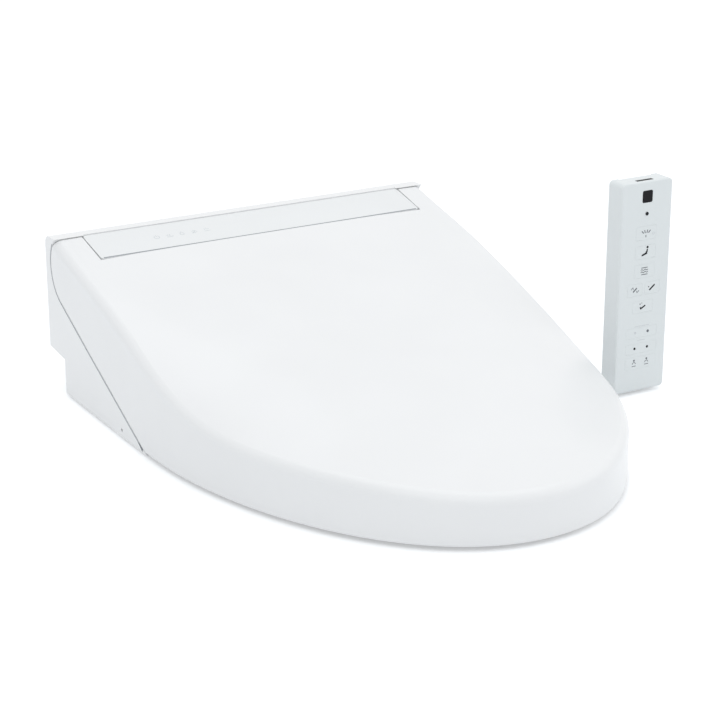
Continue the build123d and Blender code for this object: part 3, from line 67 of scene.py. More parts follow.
# ---- finishes ---------------------------------------------------------------
class NodeSheet:
    """A material's node tree with short calls for the nodes used here."""

    def __init__(self, name: str) -> None:
        """Start an empty material.

        Args:
            name: The material's name.
        """
        self.material = bpy.data.materials.new(name)
        self.material.use_nodes = True
        self.tree = self.material.node_tree
        self.tree.nodes.clear()
        self.output = self.add("ShaderNodeOutputMaterial")
        self.place = self.add("ShaderNodeTexCoord").outputs["Object"]

    def add(self, kind: str, **settings: object) -> bpy.types.Node:
        """Add a node.

        Args:
            kind: Blender's name of the node type.
            **settings: Attributes to set on it.

        Returns:
            The new node.
        """
        node = self.tree.nodes.new(kind)
        for key, value in settings.items():
            setattr(node, key, value)
        return node

    def link(self, source: bpy.types.NodeSocket, target: bpy.types.NodeSocket) -> None:
        """Join an output to an input."""
        self.tree.links.new(source, target)

    def noise(self, scale: float, detail: float = 3.0,
              stretch: Colour = (1.0, 1.0, 1.0)) -> bpy.types.NodeSocket:
        """Noise over the object's own coordinates.

        Args:
            scale: Noise cells per metre.
            detail: Octaves.
            stretch: Scale along each axis, for brushed or drawn textures.

        Returns:
            The noise factor, 0 to 1.
        """
        mapping = self.add("ShaderNodeMapping")
        mapping.inputs["Scale"].default_value = stretch
        self.link(self.place, mapping.inputs["Vector"])
        noise = self.add("ShaderNodeTexNoise")
        noise.inputs["Scale"].default_value = scale
        noise.inputs["Detail"].default_value = detail
        self.link(mapping.outputs["Vector"], noise.inputs["Vector"])
        return noise.outputs["Fac"]

    def spread(self, factor: bpy.types.NodeSocket, low: float, high: float) -> bpy.types.NodeSocket:
        """Map a noise factor onto a range.

        Args:
            factor: The socket to map.
            low: Value at the low end.
            high: Value at the high end.

        Returns:
            The mapped value.
        """
        span = self.add("ShaderNodeMapRange")
        for name, value in (("From Min", WEAK), ("From Max", STRONG), ("To Min", low), ("To Max", high)):
            span.inputs[name].default_value = value
        self.link(factor, span.inputs["Value"])
        return span.outputs["Result"]

    def blend(self, factor: bpy.types.NodeSocket, first: Colour, second: Colour) -> bpy.types.NodeSocket:
        """Blend two colours.

        Args:
            factor: Share of the second colour.
            first: Colour where the factor is weak.
            second: Colour where it is strong.

        Returns:
            The blended colour.
        """
        ramp = self.add("ShaderNodeValToRGB")
        for stop, place, colour in zip(ramp.color_ramp.elements, (WEAK, STRONG), (first, second)):
            stop.position = place
            stop.color = (*colour, 1.0)
        self.link(factor, ramp.inputs["Fac"])
        return ramp.outputs["Color"]

    def bump(self, height: bpy.types.NodeSocket, depth: float, strength: float) -> bpy.types.NodeSocket:
        """Turn a height into a surface normal.

        Args:
            height: The height factor.
            depth: Depth of the relief in metres.
            strength: How strongly it shows, 0 to 1.

        Returns:
            The normal.
        """
        bump = self.add("ShaderNodeBump")
        bump.inputs["Distance"].default_value = depth
        bump.inputs["Strength"].default_value = strength
        self.link(height, bump.inputs["Height"])
        return bump.outputs["Normal"]


def shade(colour: Colour, factor: float) -> Colour:
    """A colour made darker or lighter by a factor, kept below full white."""
    return tuple(min(0.95, channel * factor) for channel in colour)


@dataclass(frozen=True)
class Coat:
    """What every finish has: a name, a colour and one shader that its own method sets."""

    name: str
    colour: Colour

    def material(self) -> bpy.types.Material:
        """Build the material.

        Returns:
            The finished material.
        """
        sheet = NodeSheet(self.name)
        surface = sheet.add("ShaderNodeBsdfPrincipled")
        self.lay(sheet, surface)
        sheet.link(surface.outputs["BSDF"], sheet.output.inputs["Surface"])
        return sheet.material

    def lay(self, sheet: NodeSheet, surface: bpy.types.Node) -> None:
        """Set the shader.

        Args:
            sheet: The material's node sheet.
            surface: Its shader.
        """
        raise NotImplementedError

    def tint(self, sheet: NodeSheet, surface: bpy.types.Node, factor: bpy.types.NodeSocket,
             tones: Span) -> None:
        """Let the colour drift between two tones.

        Args:
            sheet: The material's node sheet.
            surface: Its shader.
            factor: The noise that the drift follows.
            tones: What the colour is multiplied by where the noise is weak and where it is strong.
        """
        weak, strong = (shade(self.colour, tone) for tone in tones)
        sheet.link(sheet.blend(factor, weak, strong), surface.inputs["Base Color"])


@dataclass(frozen=True)
class MouldedPlastic(Coat):
    """Injection-moulded plastic with a faint drift of tone and a fine skin."""

    roughness: float = 0.3
    coat: float = 0.0
    grain: float = 900.0
    depth: float = 0.00002
    tone: float = 0.012
    specular: float = 0.5
    drift_scale: float = 9.0
    patch_scale: float = 40.0
    patch: float = 0.08
    relief: float = 0.5
    ior: float = 1.49
    coat_roughness: float = 0.08

    def lay(self, sheet: NodeSheet, surface: bpy.types.Node) -> None:
        """Set the drift, the skin and the gloss.

        Args:
            sheet: The material's node sheet.
            surface: Its shader.
        """
        self.tint(sheet, surface, sheet.noise(self.drift_scale, detail=2.0), (1 - self.tone, 1 + self.tone))
        patches = sheet.noise(self.patch_scale)
        smooth, rough = self.roughness * (1 - self.patch), self.roughness * (1 + self.patch)
        sheet.link(sheet.spread(patches, smooth, rough), surface.inputs["Roughness"])
        skin = sheet.noise(self.grain, detail=2.0)
        sheet.link(sheet.bump(skin, self.depth, self.relief), surface.inputs["Normal"])
        surface.inputs["IOR"].default_value = self.ior
        surface.inputs["Specular IOR Level"].default_value = self.specular
        surface.inputs["Coat Weight"].default_value = self.coat
        surface.inputs["Coat Roughness"].default_value = self.coat_roughness


@dataclass(frozen=True)
class TurnedMetal(Coat):
    """Bare metal with fine drawn or turned lines."""

    roughness: float = 0.3
    lines: Colour = (1.0, 14.0, 14.0)
    line_scale: float = 180.0
    tones: Span = (0.9, 1.06)
    gloss: Span = (0.8, 1.25)
    depth: float = 0.00003
    relief: float = 0.35

    def lay(self, sheet: NodeSheet, surface: bpy.types.Node) -> None:
        """Set the metal and its lines.

        Args:
            sheet: The material's node sheet.
            surface: Its shader.
        """
        surface.inputs["Metallic"].default_value = 1.0
        brushed = sheet.noise(self.line_scale, 4.0, self.lines)
        self.tint(sheet, surface, brushed, self.tones)
        smooth, rough = (self.roughness * share for share in self.gloss)
        sheet.link(sheet.spread(brushed, smooth, rough), surface.inputs["Roughness"])
        sheet.link(sheet.bump(brushed, self.depth, self.relief), surface.inputs["Normal"])


@dataclass(frozen=True)
class SoftRubber(Coat):
    """Matt rubber with a fine powdery skin."""

    tones: Span = (0.94, 1.05)
    rough: Span = (0.62, 0.74)
    bloom_scale: float = 120.0
    skin_scale: float = 1400.0
    depth: float = 0.00005
    relief: float = 0.5
    sheen: float = 0.15

    def lay(self, sheet: NodeSheet, surface: bpy.types.Node) -> None:
        """Set the rubber and its bloom.

        Args:
            sheet: The material's node sheet.
            surface: Its shader.
        """
        bloom = sheet.noise(self.bloom_scale, detail=5.0)
        self.tint(sheet, surface, bloom, self.tones)
        sheet.link(sheet.spread(bloom, *self.rough), surface.inputs["Roughness"])
        skin = sheet.noise(self.skin_scale)
        sheet.link(sheet.bump(skin, self.depth, self.relief), surface.inputs["Normal"])
        surface.inputs["Sheen Weight"].default_value = self.sheen


@dataclass(frozen=True)
class CircuitBoard(Coat):
    """Solder-masked laminate with tracks and pads."""

    track: Colour = (0.13, 0.42, 0.24)
    pad: Colour = (0.78, 0.77, 0.72)
    track_scale: float = 90.0
    track_width: float = 0.06
    row_tone: float = 0.9
    pad_scale: float = 260.0
    pad_size: float = 0.16
    rough: Span = (0.28, 0.4)
    rough_scale: float = 60.0

    def lay(self, sheet: NodeSheet, surface: bpy.types.Node) -> None:
        """Set the mask, the tracks and the pads.

        Args:
            sheet: The material's node sheet.
            surface: Its shader.
        """
        tracks = sheet.add("ShaderNodeTexBrick")
        tracks.inputs["Scale"].default_value = self.track_scale
        tracks.inputs["Mortar Size"].default_value = self.track_width
        tracks.inputs["Color1"].default_value = (*self.colour, 1.0)
        tracks.inputs["Color2"].default_value = (*shade(self.colour, self.row_tone), 1.0)
        tracks.inputs["Mortar"].default_value = (*self.track, 1.0)
        sheet.link(sheet.place, tracks.inputs["Vector"])
        pads = sheet.add("ShaderNodeTexVoronoi")
        pads.inputs["Scale"].default_value = self.pad_scale
        sheet.link(sheet.place, pads.inputs["Vector"])
        dot = sheet.add("ShaderNodeMath", operation="LESS_THAN")
        dot.inputs[1].default_value = self.pad_size
        sheet.link(pads.outputs["Distance"], dot.inputs[0])
        mix = sheet.add("ShaderNodeMix", data_type="RGBA")
        sheet.link(dot.outputs["Value"], mix.inputs["Factor"])
        sheet.link(tracks.outputs["Color"], mix.inputs["A"])
        mix.inputs["B"].default_value = (*self.pad, 1.0)
        sheet.link(mix.outputs["Result"], surface.inputs["Base Color"])
        sheet.link(sheet.spread(sheet.noise(self.rough_scale), *self.rough), surface.inputs["Roughness"])


@dataclass(frozen=True)
class FrostedWindow(Coat):
    """Pale translucent window with a satin skin."""

    tones: Span = (0.98, 1.0)
    rough: Span = (0.34, 0.46)
    drift_scale: float = 30.0
    skin_scale: float = 700.0
    ior: float = 1.5
    clear: float = 0.55

    def lay(self, sheet: NodeSheet, surface: bpy.types.Node) -> None:
        """Set the clear body and its satin skin.

        Args:
            sheet: The material's node sheet.
            surface: Its shader.
        """
        self.tint(sheet, surface, sheet.noise(self.drift_scale), self.tones)
        sheet.link(sheet.spread(sheet.noise(self.skin_scale), *self.rough), surface.inputs["Roughness"])
        surface.inputs["IOR"].default_value = self.ior
        surface.inputs["Transmission Weight"].default_value = self.clear


@dataclass(frozen=True)
class PrintedInk(Coat):
    """Screen-printed ink with a slightly uneven lay."""

    tones: Span = (0.9, 1.1)
    rough: Span = (0.45, 0.6)
    film_scale: float = 1500.0
    specular: float = 0.2

    def lay(self, sheet: NodeSheet, surface: bpy.types.Node) -> None:
        """Set the uneven matt ink.

        Args:
            sheet: The material's node sheet.
            surface: Its shader.
        """
        film = sheet.noise(self.film_scale, detail=2.0)
        self.tint(sheet, surface, film, self.tones)
        sheet.link(sheet.spread(film, *self.rough), surface.inputs["Roughness"])
        surface.inputs["Specular IOR Level"].default_value = self.specular


class Finish(Enum):
    """Every finish on the object, one member for each record slot and each ink."""

    WHITE_GLOSS = MouldedPlastic("white_gloss", (0.882, 0.884, 0.888), coat=0.15, depth=0.000012)
    SEAT_WHITE = MouldedPlastic("seat_white", (0.868, 0.872, 0.878), roughness=0.34, coat=0.1)
    DECK_GREY = MouldedPlastic("deck_grey", (0.848, 0.858, 0.862), roughness=0.36, grain=1300.0,
                               depth=0.00003)
    INNER_PLASTIC = MouldedPlastic("inner_plastic", (0.62, 0.635, 0.65), roughness=0.5, depth=0.00005,
                                   tone=0.03)
    DARK_PLASTIC = MouldedPlastic("dark_plastic", (0.008, 0.008, 0.01), roughness=0.45, depth=0.00004,
                                  tone=0.1, specular=0.16)
    HANDSET_WHITE = MouldedPlastic("handset_white", (0.782, 0.818, 0.826), roughness=0.32, coat=0.1,
                                   grain=1500.0)
    RUBBER_GREY = SoftRubber("rubber_grey", (0.42, 0.44, 0.46))
    WINDOW_CLEAR = FrostedWindow("window_clear", (0.80, 0.84, 0.87))
    BOARD_GREEN = CircuitBoard("board_green", (0.012, 0.12, 0.05))
    STEEL = TurnedMetal("steel", (0.60, 0.61, 0.62))
    BRASS = TurnedMetal("brass", (0.72, 0.52, 0.22), roughness=0.26, lines=(14.0, 14.0, 1.0))
    ALUMINIUM = TurnedMetal("aluminium", (0.82, 0.83, 0.84), roughness=0.42)
    BATTERY_SLEEVE = MouldedPlastic("battery_sleeve", (0.014, 0.016, 0.022), roughness=0.25, coat=0.5,
                                    tone=0.1)
    INK_BLACK = PrintedInk("ink_black", (0.012, 0.013, 0.016))
    INK_GREY = PrintedInk("ink_grey", (0.16, 0.17, 0.19))
    INK_FAINT = PrintedInk("ink_faint", (0.66, 0.69, 0.71))
    # painted shadow: the grey of the strips that stand in for the shade in the seams round the deck panel
    # and the lid's ears
    SEAM_GREY = SoftRubber("seam_grey", (0.33, 0.35, 0.37))


class Palette:
    """Builds each finish once and dresses objects with it."""

    def __init__(self) -> None:
        """Start with no material built."""
        self.made: dict[Finish, bpy.types.Material] = {}

    def get(self, finish: Finish) -> bpy.types.Material:
        """Find the material of a finish, built when first asked for.

        Args:
            finish: The finish.

        Returns:
            Its material.
        """
        if finish not in self.made:
            self.made[finish] = finish.value.material()
        return self.made[finish]

    def dress(self, node: bpy.types.Object, finish: Finish) -> None:
        """Put one finish on every slot of an object.

        Args:
            node: The object.
            finish: The finish.
        """
        if not node.data.materials:
            node.data.materials.append(self.get(finish))
        for index in range(len(node.material_slots)):
            node.material_slots[index].material = self.get(finish)


def slot_finish(slot: str) -> Finish:
    """The finish that stands for a record material slot."""
    return Finish[slot.upper()]


# ---- printed figures --------------------------------------------------------
def arc(x: float, y: float, radius: float, start: float, end: float, steps: int = 10) -> Stroke:
    """Points along an arc.

    Args:
        x: Centre, to the right.
        y: Centre, upwards.
        radius: Radius.
        start: First angle in degrees, from the right and anticlockwise.
        end: Last angle in degrees.
        steps: Number of pieces.

    Returns:
        The points from the first angle to the last.
    """
    angles = [math.radians(start + (end - start) * step / steps) for step in range(steps + 1)]
    return [(x + radius * math.cos(angle), y + radius * math.sin(angle)) for angle in angles]


@dataclass(frozen=True)
class Figure:
    """A printed figure: strokes of one width, round dots and filled shapes, in millimetres."""

    strokes: tuple[Stroke, ...] = ()
    width: float = 0.5
    dots: tuple[tuple[float, float, float], ...] = ()
    fills: tuple[Stroke, ...] = ()

    def placed(self, x: float, y: float, scale: float = 1.0) -> "Figure":
        """The same figure at another place and size.

        Args:
            x: Shift to the right.
            y: Shift upwards.
            scale: Size against the original.

        Returns:
            The new figure.
        """
        def move(line: Stroke) -> Stroke:
            """Scale and shift a line."""
            return [(x + scale * across, y + scale * upward) for across, upward in line]

        dots = tuple((x + scale * across, y + scale * upward, scale * radius)
                     for across, upward, radius in self.dots)
        return Figure(tuple(move(line) for line in self.strokes), self.width * scale, dots,
                      tuple(move(line) for line in self.fills))


def rounded_loop(half_width: float, half_height: float, radius: float) -> Stroke:
    """Loop of a rounded rectangle round zero.

    Args:
        half_width: Half its width.
        half_height: Half its height.
        radius: Radius of its corners.

    Returns:
        The points, of which the last repeats the first.
    """
    loop: Stroke = []
    for turn, (side, end) in enumerate(((1, 1), (-1, 1), (-1, -1), (1, -1))):
        middle = (side * (half_width - radius), end * (half_height - radius))
        loop += arc(*middle, radius, turn * 90, turn * 90 + 90, steps=6)
    return loop + loop[:1]


def bar(x: float, y: float, length: float, lean: float, thickness: float) -> Stroke:
    """Corners of a leaning bar.

    Args:
        x: Middle, to the right.
        y: Middle, upwards.
        length: Its length.
        lean: Its angle in degrees.
        thickness: How thick it is.

    Returns:
        Four corners, anticlockwise.
    """
    way = math.radians(lean)
    along = (math.cos(way) * length / 2, math.sin(way) * length / 2)
    off = (-math.sin(way) * thickness / 2, math.cos(way) * thickness / 2)
    return [(x + a * along[0] + b * off[0], y + a * along[1] + b * off[1])
            for a, b in ((-1, -1), (1, -1), (1, 1), (-1, 1))]


def spray_figure() -> Figure:
    """Fan of water rising from a short foot."""
    jets = tuple(bar(reach, 1.2 - 0.12 * abs(reach), 2.6, 90 - 14 * reach, 0.8)
                 for reach in (-3.2, -1.1, 1.1, 3.2))
    return Figure(fills=jets + (bar(0, -2.6, 1.8, 90, 0.7),))


def seated_figure() -> Figure:
    """Draw the side view of a seated person over a jet.

    Returns:
        The figure.
    """
    back = [(0.2, -0.4), (2.2, -0.7), (2.6, 2.0), (1.5, 2.2), (1.1, 0.7)]
    leg = [(2.2, -1.7), (1.6, -0.2), (-3.2, -1.9), (-3.4, -3.0), (-2.4, -3.1)]
    return Figure(dots=((2.1, 3.6, 1.0),), fills=(back, leg))


def soft_figure() -> Figure:
    """Draw two soft waves in an open frame.

    Returns:
        The figure.
    """
    waves = tuple([(x * 0.8, height + 0.5 * math.sin(x * 1.6)) for x in range(-4, 5)]
                  for height in (0.9, -0.9))
    sides = ([(-2.8, 2.6), (2.8, 2.6)], [(-2.6, -2.8), (3.0, -2.8)])
    return Figure(waves + sides, 0.6)


def swing_figure() -> Figure:
    """Leaning bar between two short arrows."""
    arrows = ([(-3.6, 0.8), (-2.0, 2.4), (-1.6, 0.9)], [(3.6, -0.8), (2.0, -2.4), (1.6, -0.9)])
    return Figure(arrows, 0.6, fills=(bar(0, 0, 4.6, 40, 1.1),))


def pulse_figure() -> Figure:
    """Long leaning bar with a dot over its end."""
    return Figure(dots=((-3.2, 0.8, 0.5),), fills=(bar(0, 0, 6.4, 38, 1.3),))


def dryer_figure() -> Figure:
    """Leaning bar with a foot and two dots above."""
    return Figure(dots=((-2.6, 2.2, 0.45), (-0.9, 2.9, 0.35)),
                  fills=(bar(0.2, -0.6, 5.2, 28, 1.2), bar(-2.1, -1.1, 1.8, 100, 1.0)))


def person_figure() -> Figure:
    """Head and shoulders over a short line."""
    shoulders = arc(0, -1.1, 1.6, 10, 170)
    return Figure((shoulders, [(-1.7, -2.6), (1.7, -2.6)]), 0.5, ((0, 2.0, 0.85),))


def drop_figure() -> Figure:
    """Water drop in outline."""
    return Figure(([(0.0, 1.9), (-1.1, 0.1)], arc(0, -0.4, 1.2, 155, 385), [(1.1, 0.1), (0.0, 1.9)]),
                  DECK_LINE)


def power_figure() -> Figure:
    """Open ring with a bar at the top."""
    return Figure((arc(0, 0, 1.6, 120, 420, 18), [(0.0, 0.4), (0.0, 2.0)]), DECK_LINE)


def seat_figure() -> Figure:
    """Side view of a warm seat: a line with two rising curls."""
    curls = tuple(arc(x, 0.2, 0.7, 270, 90) for x in (-0.7, 0.7))
    return Figure(([(-1.9, -1.6), (1.6, -1.6), (1.9, -0.6)],) + curls, DECK_LINE)


def leaf_figure() -> Figure:
    """Leaf for the saving mode."""
    vein = [(-1.7, -1.7), (0.5, 0.5)]
    return Figure((arc(-0.9, -0.9, 2.4, 8, 82), arc(0.9, 0.9, 2.4, 188, 262), vein), DECK_LINE)


def clean_figure() -> Figure:
    """Short bar with three drops of light."""
    return Figure(([(-1.7, -1.2), (1.7, -1.2)], [(-1.0, 0.2), (-1.0, 1.4)], [(0.2, 0.6), (0.2, 1.9)],
                   [(1.3, 0.2), (1.3, 1.4)]), DECK_LINE)


class Surface:
    """The skin of one or more CAD nodes, for laying thin prints on it."""

    def __init__(self, *nodes: str) -> None:
        """Keep the nodes' meshes.

        Args:
            *nodes: Names of the CAD nodes.
        """
        points: list[Vector] = []
        faces: list[tuple[int, ...]] = []
        for node in nodes:
            mesh = frame["nodes"][node].data
            first = len(points)
            points += [vertex.co.copy() for vertex in mesh.vertices]
            faces += [tuple(first + corner for corner in polygon.vertices) for polygon in mesh.polygons]
        self.skin = BVHTree.FromPolygons(points, faces)

    def meet(self, start: Vector, way: Vector) -> tuple[Vector, Vector]:
        """First point of the skin along a ray.

        Args:
            start: Where the ray starts.
            way: Its direction.

        Returns:
            The point and the outward normal there.
        """
        point, normal, _, _ = self.skin.ray_cast(start, way)
        if point is None:
            raise ValueError(f"no surface below {tuple(start)}")
        return point, -normal if normal.dot(way) > 0 else normal

    def ribbon(self, form: bmesh.types.BMesh, edges: list[tuple[Vector, Vector]], way: Vector,
               lift: float) -> None:
        """Lay a thin closed band on the skin.

        Args:
            form: The mesh to add to.
            edges: Pairs of starting points, one for each side of the band, off the skin.
            way: Direction from the starting points to the skin.
            lift: How far the band stands out and reaches in.
        """
        rows = []
        for pair in edges:
            hits = [self.meet(start, way) for start in pair]
            (one, rise), (other, rise_too) = hits
            rows.append([form.verts.new(corner) for corner in (
                one - rise * lift, one + rise * lift, other + rise_too * lift, other - rise_too * lift)])
        for row, after in zip(rows, rows[1:]):
            for side in range(4):
                beside = (side + 1) % 4
                form.faces.new((row[side], row[beside], after[beside], after[side]))
        form.faces.new(rows[0])
        form.faces.new(rows[-1][::-1])


@dataclass
class PrintPad:
    """A place to print on: its centre, its directions and how thick the ink lies."""

    centre: Vector
    right: Vector
    up: Vector
    lift: float = INK_THICKNESS
    sink: float = INK_THICKNESS

    def normal(self) -> Vector:
        """Direction out of the surface."""
        return self.right.cross(self.up).normalized()

    def spot(self, x: float, y: float, height: float) -> Vector:
        """Point at x and y millimetres from the centre, height metres above the surface."""
        return self.centre + self.right * (x * MM) + self.up * (y * MM) + self.normal() * height

    def prism(self, form: bmesh.types.BMesh, outline: Stroke) -> None:
        """Add a thin closed plate with the given outline.

        Args:
            form: The mesh to add to.
            outline: Corners in millimetres, anticlockwise.
        """
        low = [form.verts.new(self.spot(x, y, -self.sink)) for x, y in outline]
        high = [form.verts.new(self.spot(x, y, self.lift)) for x, y in outline]
        form.faces.new(high)
        form.faces.new(low[::-1])
        for index in range(len(outline)):
            after = (index + 1) % len(outline)
            form.faces.new((low[index], low[after], high[after], high[index]))

    def stroke(self, form: bmesh.types.BMesh, line: Stroke, width: float) -> None:
        """Add a stroke with round ends as one plate.

        Args:
            form: The mesh to add to.
            line: The stroke's middle line in millimetres.
            width: Its width in millimetres.
        """
        half = width / 2
        left: Stroke = []
        right: Stroke = []
        for index, (x, y) in enumerate(line):
            before = line[max(index - 1, 0)]
            after = line[min(index + 1, len(line) - 1)]
            way = math.atan2(after[1] - before[1], after[0] - before[0])
            left.append((x - half * math.sin(way), y + half * math.cos(way)))
            right.append((x + half * math.sin(way), y - half * math.cos(way)))
        first = math.degrees(math.atan2(line[1][1] - line[0][1], line[1][0] - line[0][0]))
        last = math.degrees(math.atan2(line[-1][1] - line[-2][1], line[-1][0] - line[-2][0]))
        head = arc(*line[-1], half, last - 90, last + 90, steps=4)[1:-1]
        tail = arc(*line[0], half, first + 90, first + 270, steps=4)[1:-1]
        if math.dist(line[0], line[-1]) < TOUCHING:
            self.ring(form, left, right)
            return
        self.prism(form, right + head + left[::-1] + tail)

    def ring(self, form: bmesh.types.BMesh, inner: Stroke, outer: Stroke) -> None:
        """Add a closed ring between two loops.

        Args:
            form: The mesh to add to.
            inner: Inner loop, whose last point repeats the first.
            outer: Outer loop, of the same length.
        """
        count = len(inner) - 1
        corners = ((inner, -self.sink), (inner, self.lift), (outer, self.lift), (outer, -self.sink))
        loops = [[form.verts.new(self.spot(x, y, height)) for x, y in loop[:count]]
                 for loop, height in corners]
        for index in range(count):
            after = (index + 1) % count
            for side in range(4):
                a, b = loops[side], loops[(side + 1) % 4]
                form.faces.new((a[index], a[after], b[after], b[index]))

    def print(self, name: str, figures: list[Figure], palette: Palette, ink: Finish) -> bpy.types.Object:
        """Lay figures down as one object.

        Args:
            name: The object's name.
            figures: The figures, around this pad's centre.
            palette: Where the ink comes from.
            ink: The ink.

        Returns:
            The printed object.
        """
        form = bmesh.new()
        for figure in figures:
            for line in figure.strokes:
                self.stroke(form, line, figure.width)
            for x, y, radius in figure.dots:
                self.prism(form, arc(x, y, radius, 0, 360 - 360 / DOT_SIDES, DOT_SIDES - 1))
            for outline in figure.fills:
                self.prism(form, outline)
        bmesh.ops.recalc_face_normals(form, faces=form.faces)
        return piece_from(form, name, palette, ink)


def piece_from(form: bmesh.types.BMesh, name: str, palette: Palette, finish: Finish) -> bpy.types.Object:
    """Turn a bmesh into a dressed object.

    Args:
        form: The mesh, freed here.
        name: The object's name.
        palette: Where the material comes from.
        finish: The finish.

    Returns:
        The new object, linked to the scene.
    """
    mesh = bpy.data.meshes.new(name)
    form.to_mesh(mesh)
    form.free()
    piece = bpy.data.objects.new(name, mesh)
    bpy.context.scene.collection.objects.link(piece)
    palette.dress(piece, finish)
    return piece


def join_body(piece: bpy.types.Object, body: str) -> None:
    """Let a piece ride on a body.

    Args:
        piece: The piece.
        body: The record's body that carries it.
    """
    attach(piece, body)
    log.info("%s rides on %s", piece.name, body)


# ---- sub-assemblies ---------------------------------------------------------
@dataclass
class CarriedNodes:
    """The CAD nodes, each dressed in the finish of its record slot."""

    palette: Palette

    def dress(self) -> None:
        """Give every node its finish."""
        for part in frame["record"]["subparts"]:
            node = frame["nodes"][part["node"]]
            self.palette.dress(node, slot_finish(part["material_slot"]))
            log.info("%s wears %s", part["node"], part["material_slot"])


@dataclass
class DeckPrints:
    """Faint figures on the deck panel."""

    palette: Palette
    first_x: float = -101 * MM
    last_x: float = -51 * MM
    share_up: float = 0.5
    scale: float = 1.6

    def build(self) -> None:
        """Print the row of figures."""
        low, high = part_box("deck_panel")
        skin = Surface("deck_panel")
        figures = [power_figure(), seat_figure(), drop_figure(), leaf_figure(), clean_figure()]
        y = low[1] + (high[1] - low[1]) * self.share_up
        step = (self.last_x - self.first_x) / (len(figures) - 1)
        for index, figure in enumerate(figures):
            x = self.first_x + step * index
            point, normal = skin.meet(Vector((x, y, high[2] + OFF)), Vector((0, 0, -1)))
            right = Vector((1, 0, 0))
            pad = PrintPad(point, right, normal.cross(right).normalized())
            marks = [figure.placed(0, 0, self.scale)]
            mark = pad.print(f"deck_figure_{index}", marks, self.palette, Finish.INK_FAINT)
            join_body(mark, "main_unit")


@dataclass
class SeamShadowLines:
    """Grey strips painted in the seams in front of the deck panel and behind the lid's ears, as painted
    shadow of those gaps.
    """

    palette: Palette
    width: float = 1.4 * MM
    deck_width: float = 1.7 * MM
    corner: float = 2.4 * MM
    lift: float = 0.02 * MM
    inset: float = 0.15 * MM
    lowest: float = 5.4 * MM
    highest: float = 137 * MM
    step: float = 4 * MM
    tip_height: float = 13 * MM
    tip_width: float = 3.0 * MM
    tip_rise: float = 1.5
    case_wall: float = 2.6 * MM
    stride: float = 0.5 * MM
    halvings: int = 8

    def build(self) -> None:
        """Lay every painted seam shadow."""
        self.deck_lip()
        case = Surface("upper_case")
        for side, name in ((-1, "left"), (1, "right")):
            self.ear_lip(case, side, name)

    def deck_lip(self) -> None:
        """Lay the painted shadow strip along the deck panel's front edge."""
        low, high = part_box("deck_panel")
        skin = Surface("deck_panel")
        front = low[1] + self.inset
        form = bmesh.new()
        above = high[2] + OFF
        edges = [(Vector((x, front, above)), Vector((x, front + self.deck_width, above)))
                 for x in (low[0] + self.corner, 0.0, high[0] - self.corner)]
        skin.ribbon(form, edges, Vector((0, 0, -1)), self.lift)
        # painted shadow: a grey strip for the shade in the seam in front of the deck panel
        self.finish(form, "deck_front_seam_shadow", Finish.SEAM_GREY)

    def seam_y(self, case: Surface, side: int, z: float) -> float:
        """Where the case's side wall starts behind the lid's ear.

        Args:
            case: The upper case.
            side: -1 or 1 along X.
            z: Height.

        Returns:
            The wall's front end along Y.
        """
        low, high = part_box("upper_case")
        skin_x = high[0] - self.case_wall

        def on_wall(y: float) -> bool:
            """Tell whether the outer wall is met at one place.

            Args:
                y: The place along Y.

            Returns:
                True on the wall.
            """
            start = Vector((side * (high[0] + OFF), y, z))
            point, _, _, _ = case.skin.ray_cast(start, Vector((-side, 0, 0)))
            return point is not None and abs(point.x) > skin_x

        y = low[1] - 2 * MM
        while not on_wall(y):
            y += self.stride
        before, after = y - self.stride, y
        for _ in range(self.halvings):
            middle = (before + after) / 2
            before, after = (before, middle) if on_wall(middle) else (middle, after)
        return after

    def ear_lip(self, case: Surface, side: int, name: str) -> None:
        """Lay a painted shadow strip along one ear's seam, with a darker painted shadow at its low tip.

        Args:
            case: The upper case.
            side: -1 or 1 along X.
            name: Left or right.
        """
        count = round((self.highest - self.lowest) / self.step)
        heights = [self.lowest + (self.highest - self.lowest) * index / count for index in range(count + 1)]
        seam = [Vector((0, self.seam_y(case, side, z), z)) for z in heights]
        offs = []
        for index, _ in enumerate(seam):
            along = seam[min(index + 1, count)] - seam[max(index - 1, 0)]
            offs.append(Vector((0, along.z, -along.y)).normalized())
        far = Vector((side * (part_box("upper_case")[1][0] + OFF), 0, 0))
        way = Vector((-side, 0, 0))
        low = [(point, off) for point, off in zip(seam, offs) if point.z < self.tip_height]
        high = [(point, off) for point, off in zip(seam, offs)][len(low) - 1:]
        shadow_strip = bmesh.new()
        edges = [(far + point + off * self.inset, far + point + off * (self.inset + self.width))
                 for point, off in high]
        case.ribbon(shadow_strip, edges, way, self.lift)
        self.finish(shadow_strip, f"{name}_ear_lip", Finish.SEAM_GREY)
        # painted shadow: a darker grey wedge for the shade in the gap at the ear's low tip
        tip = bmesh.new()
        taper = (self.tip_width - self.width) / (len(low) - 1)
        widths = [self.tip_width - taper * index for index in range(len(low))]
        edges = [(far + point + off * self.inset, far + point + off * (self.inset + width))
                 for (point, off), width in zip(low, widths)]
        case.ribbon(tip, edges, way, self.lift * self.tip_rise)
        self.finish(tip, f"{name}_ear_tip", Finish.INK_GREY)

    def finish(self, form: bmesh.types.BMesh, name: str, look: Finish) -> None:
        """Dress a painted seam shadow and let it ride on the main unit.

        Args:
            form: The painted shadow's mesh.
            name: Its name.
            look: Its finish.
        """
        bmesh.ops.recalc_face_normals(form, faces=form.faces)
        join_body(piece_from(form, name, self.palette, look), "main_unit")


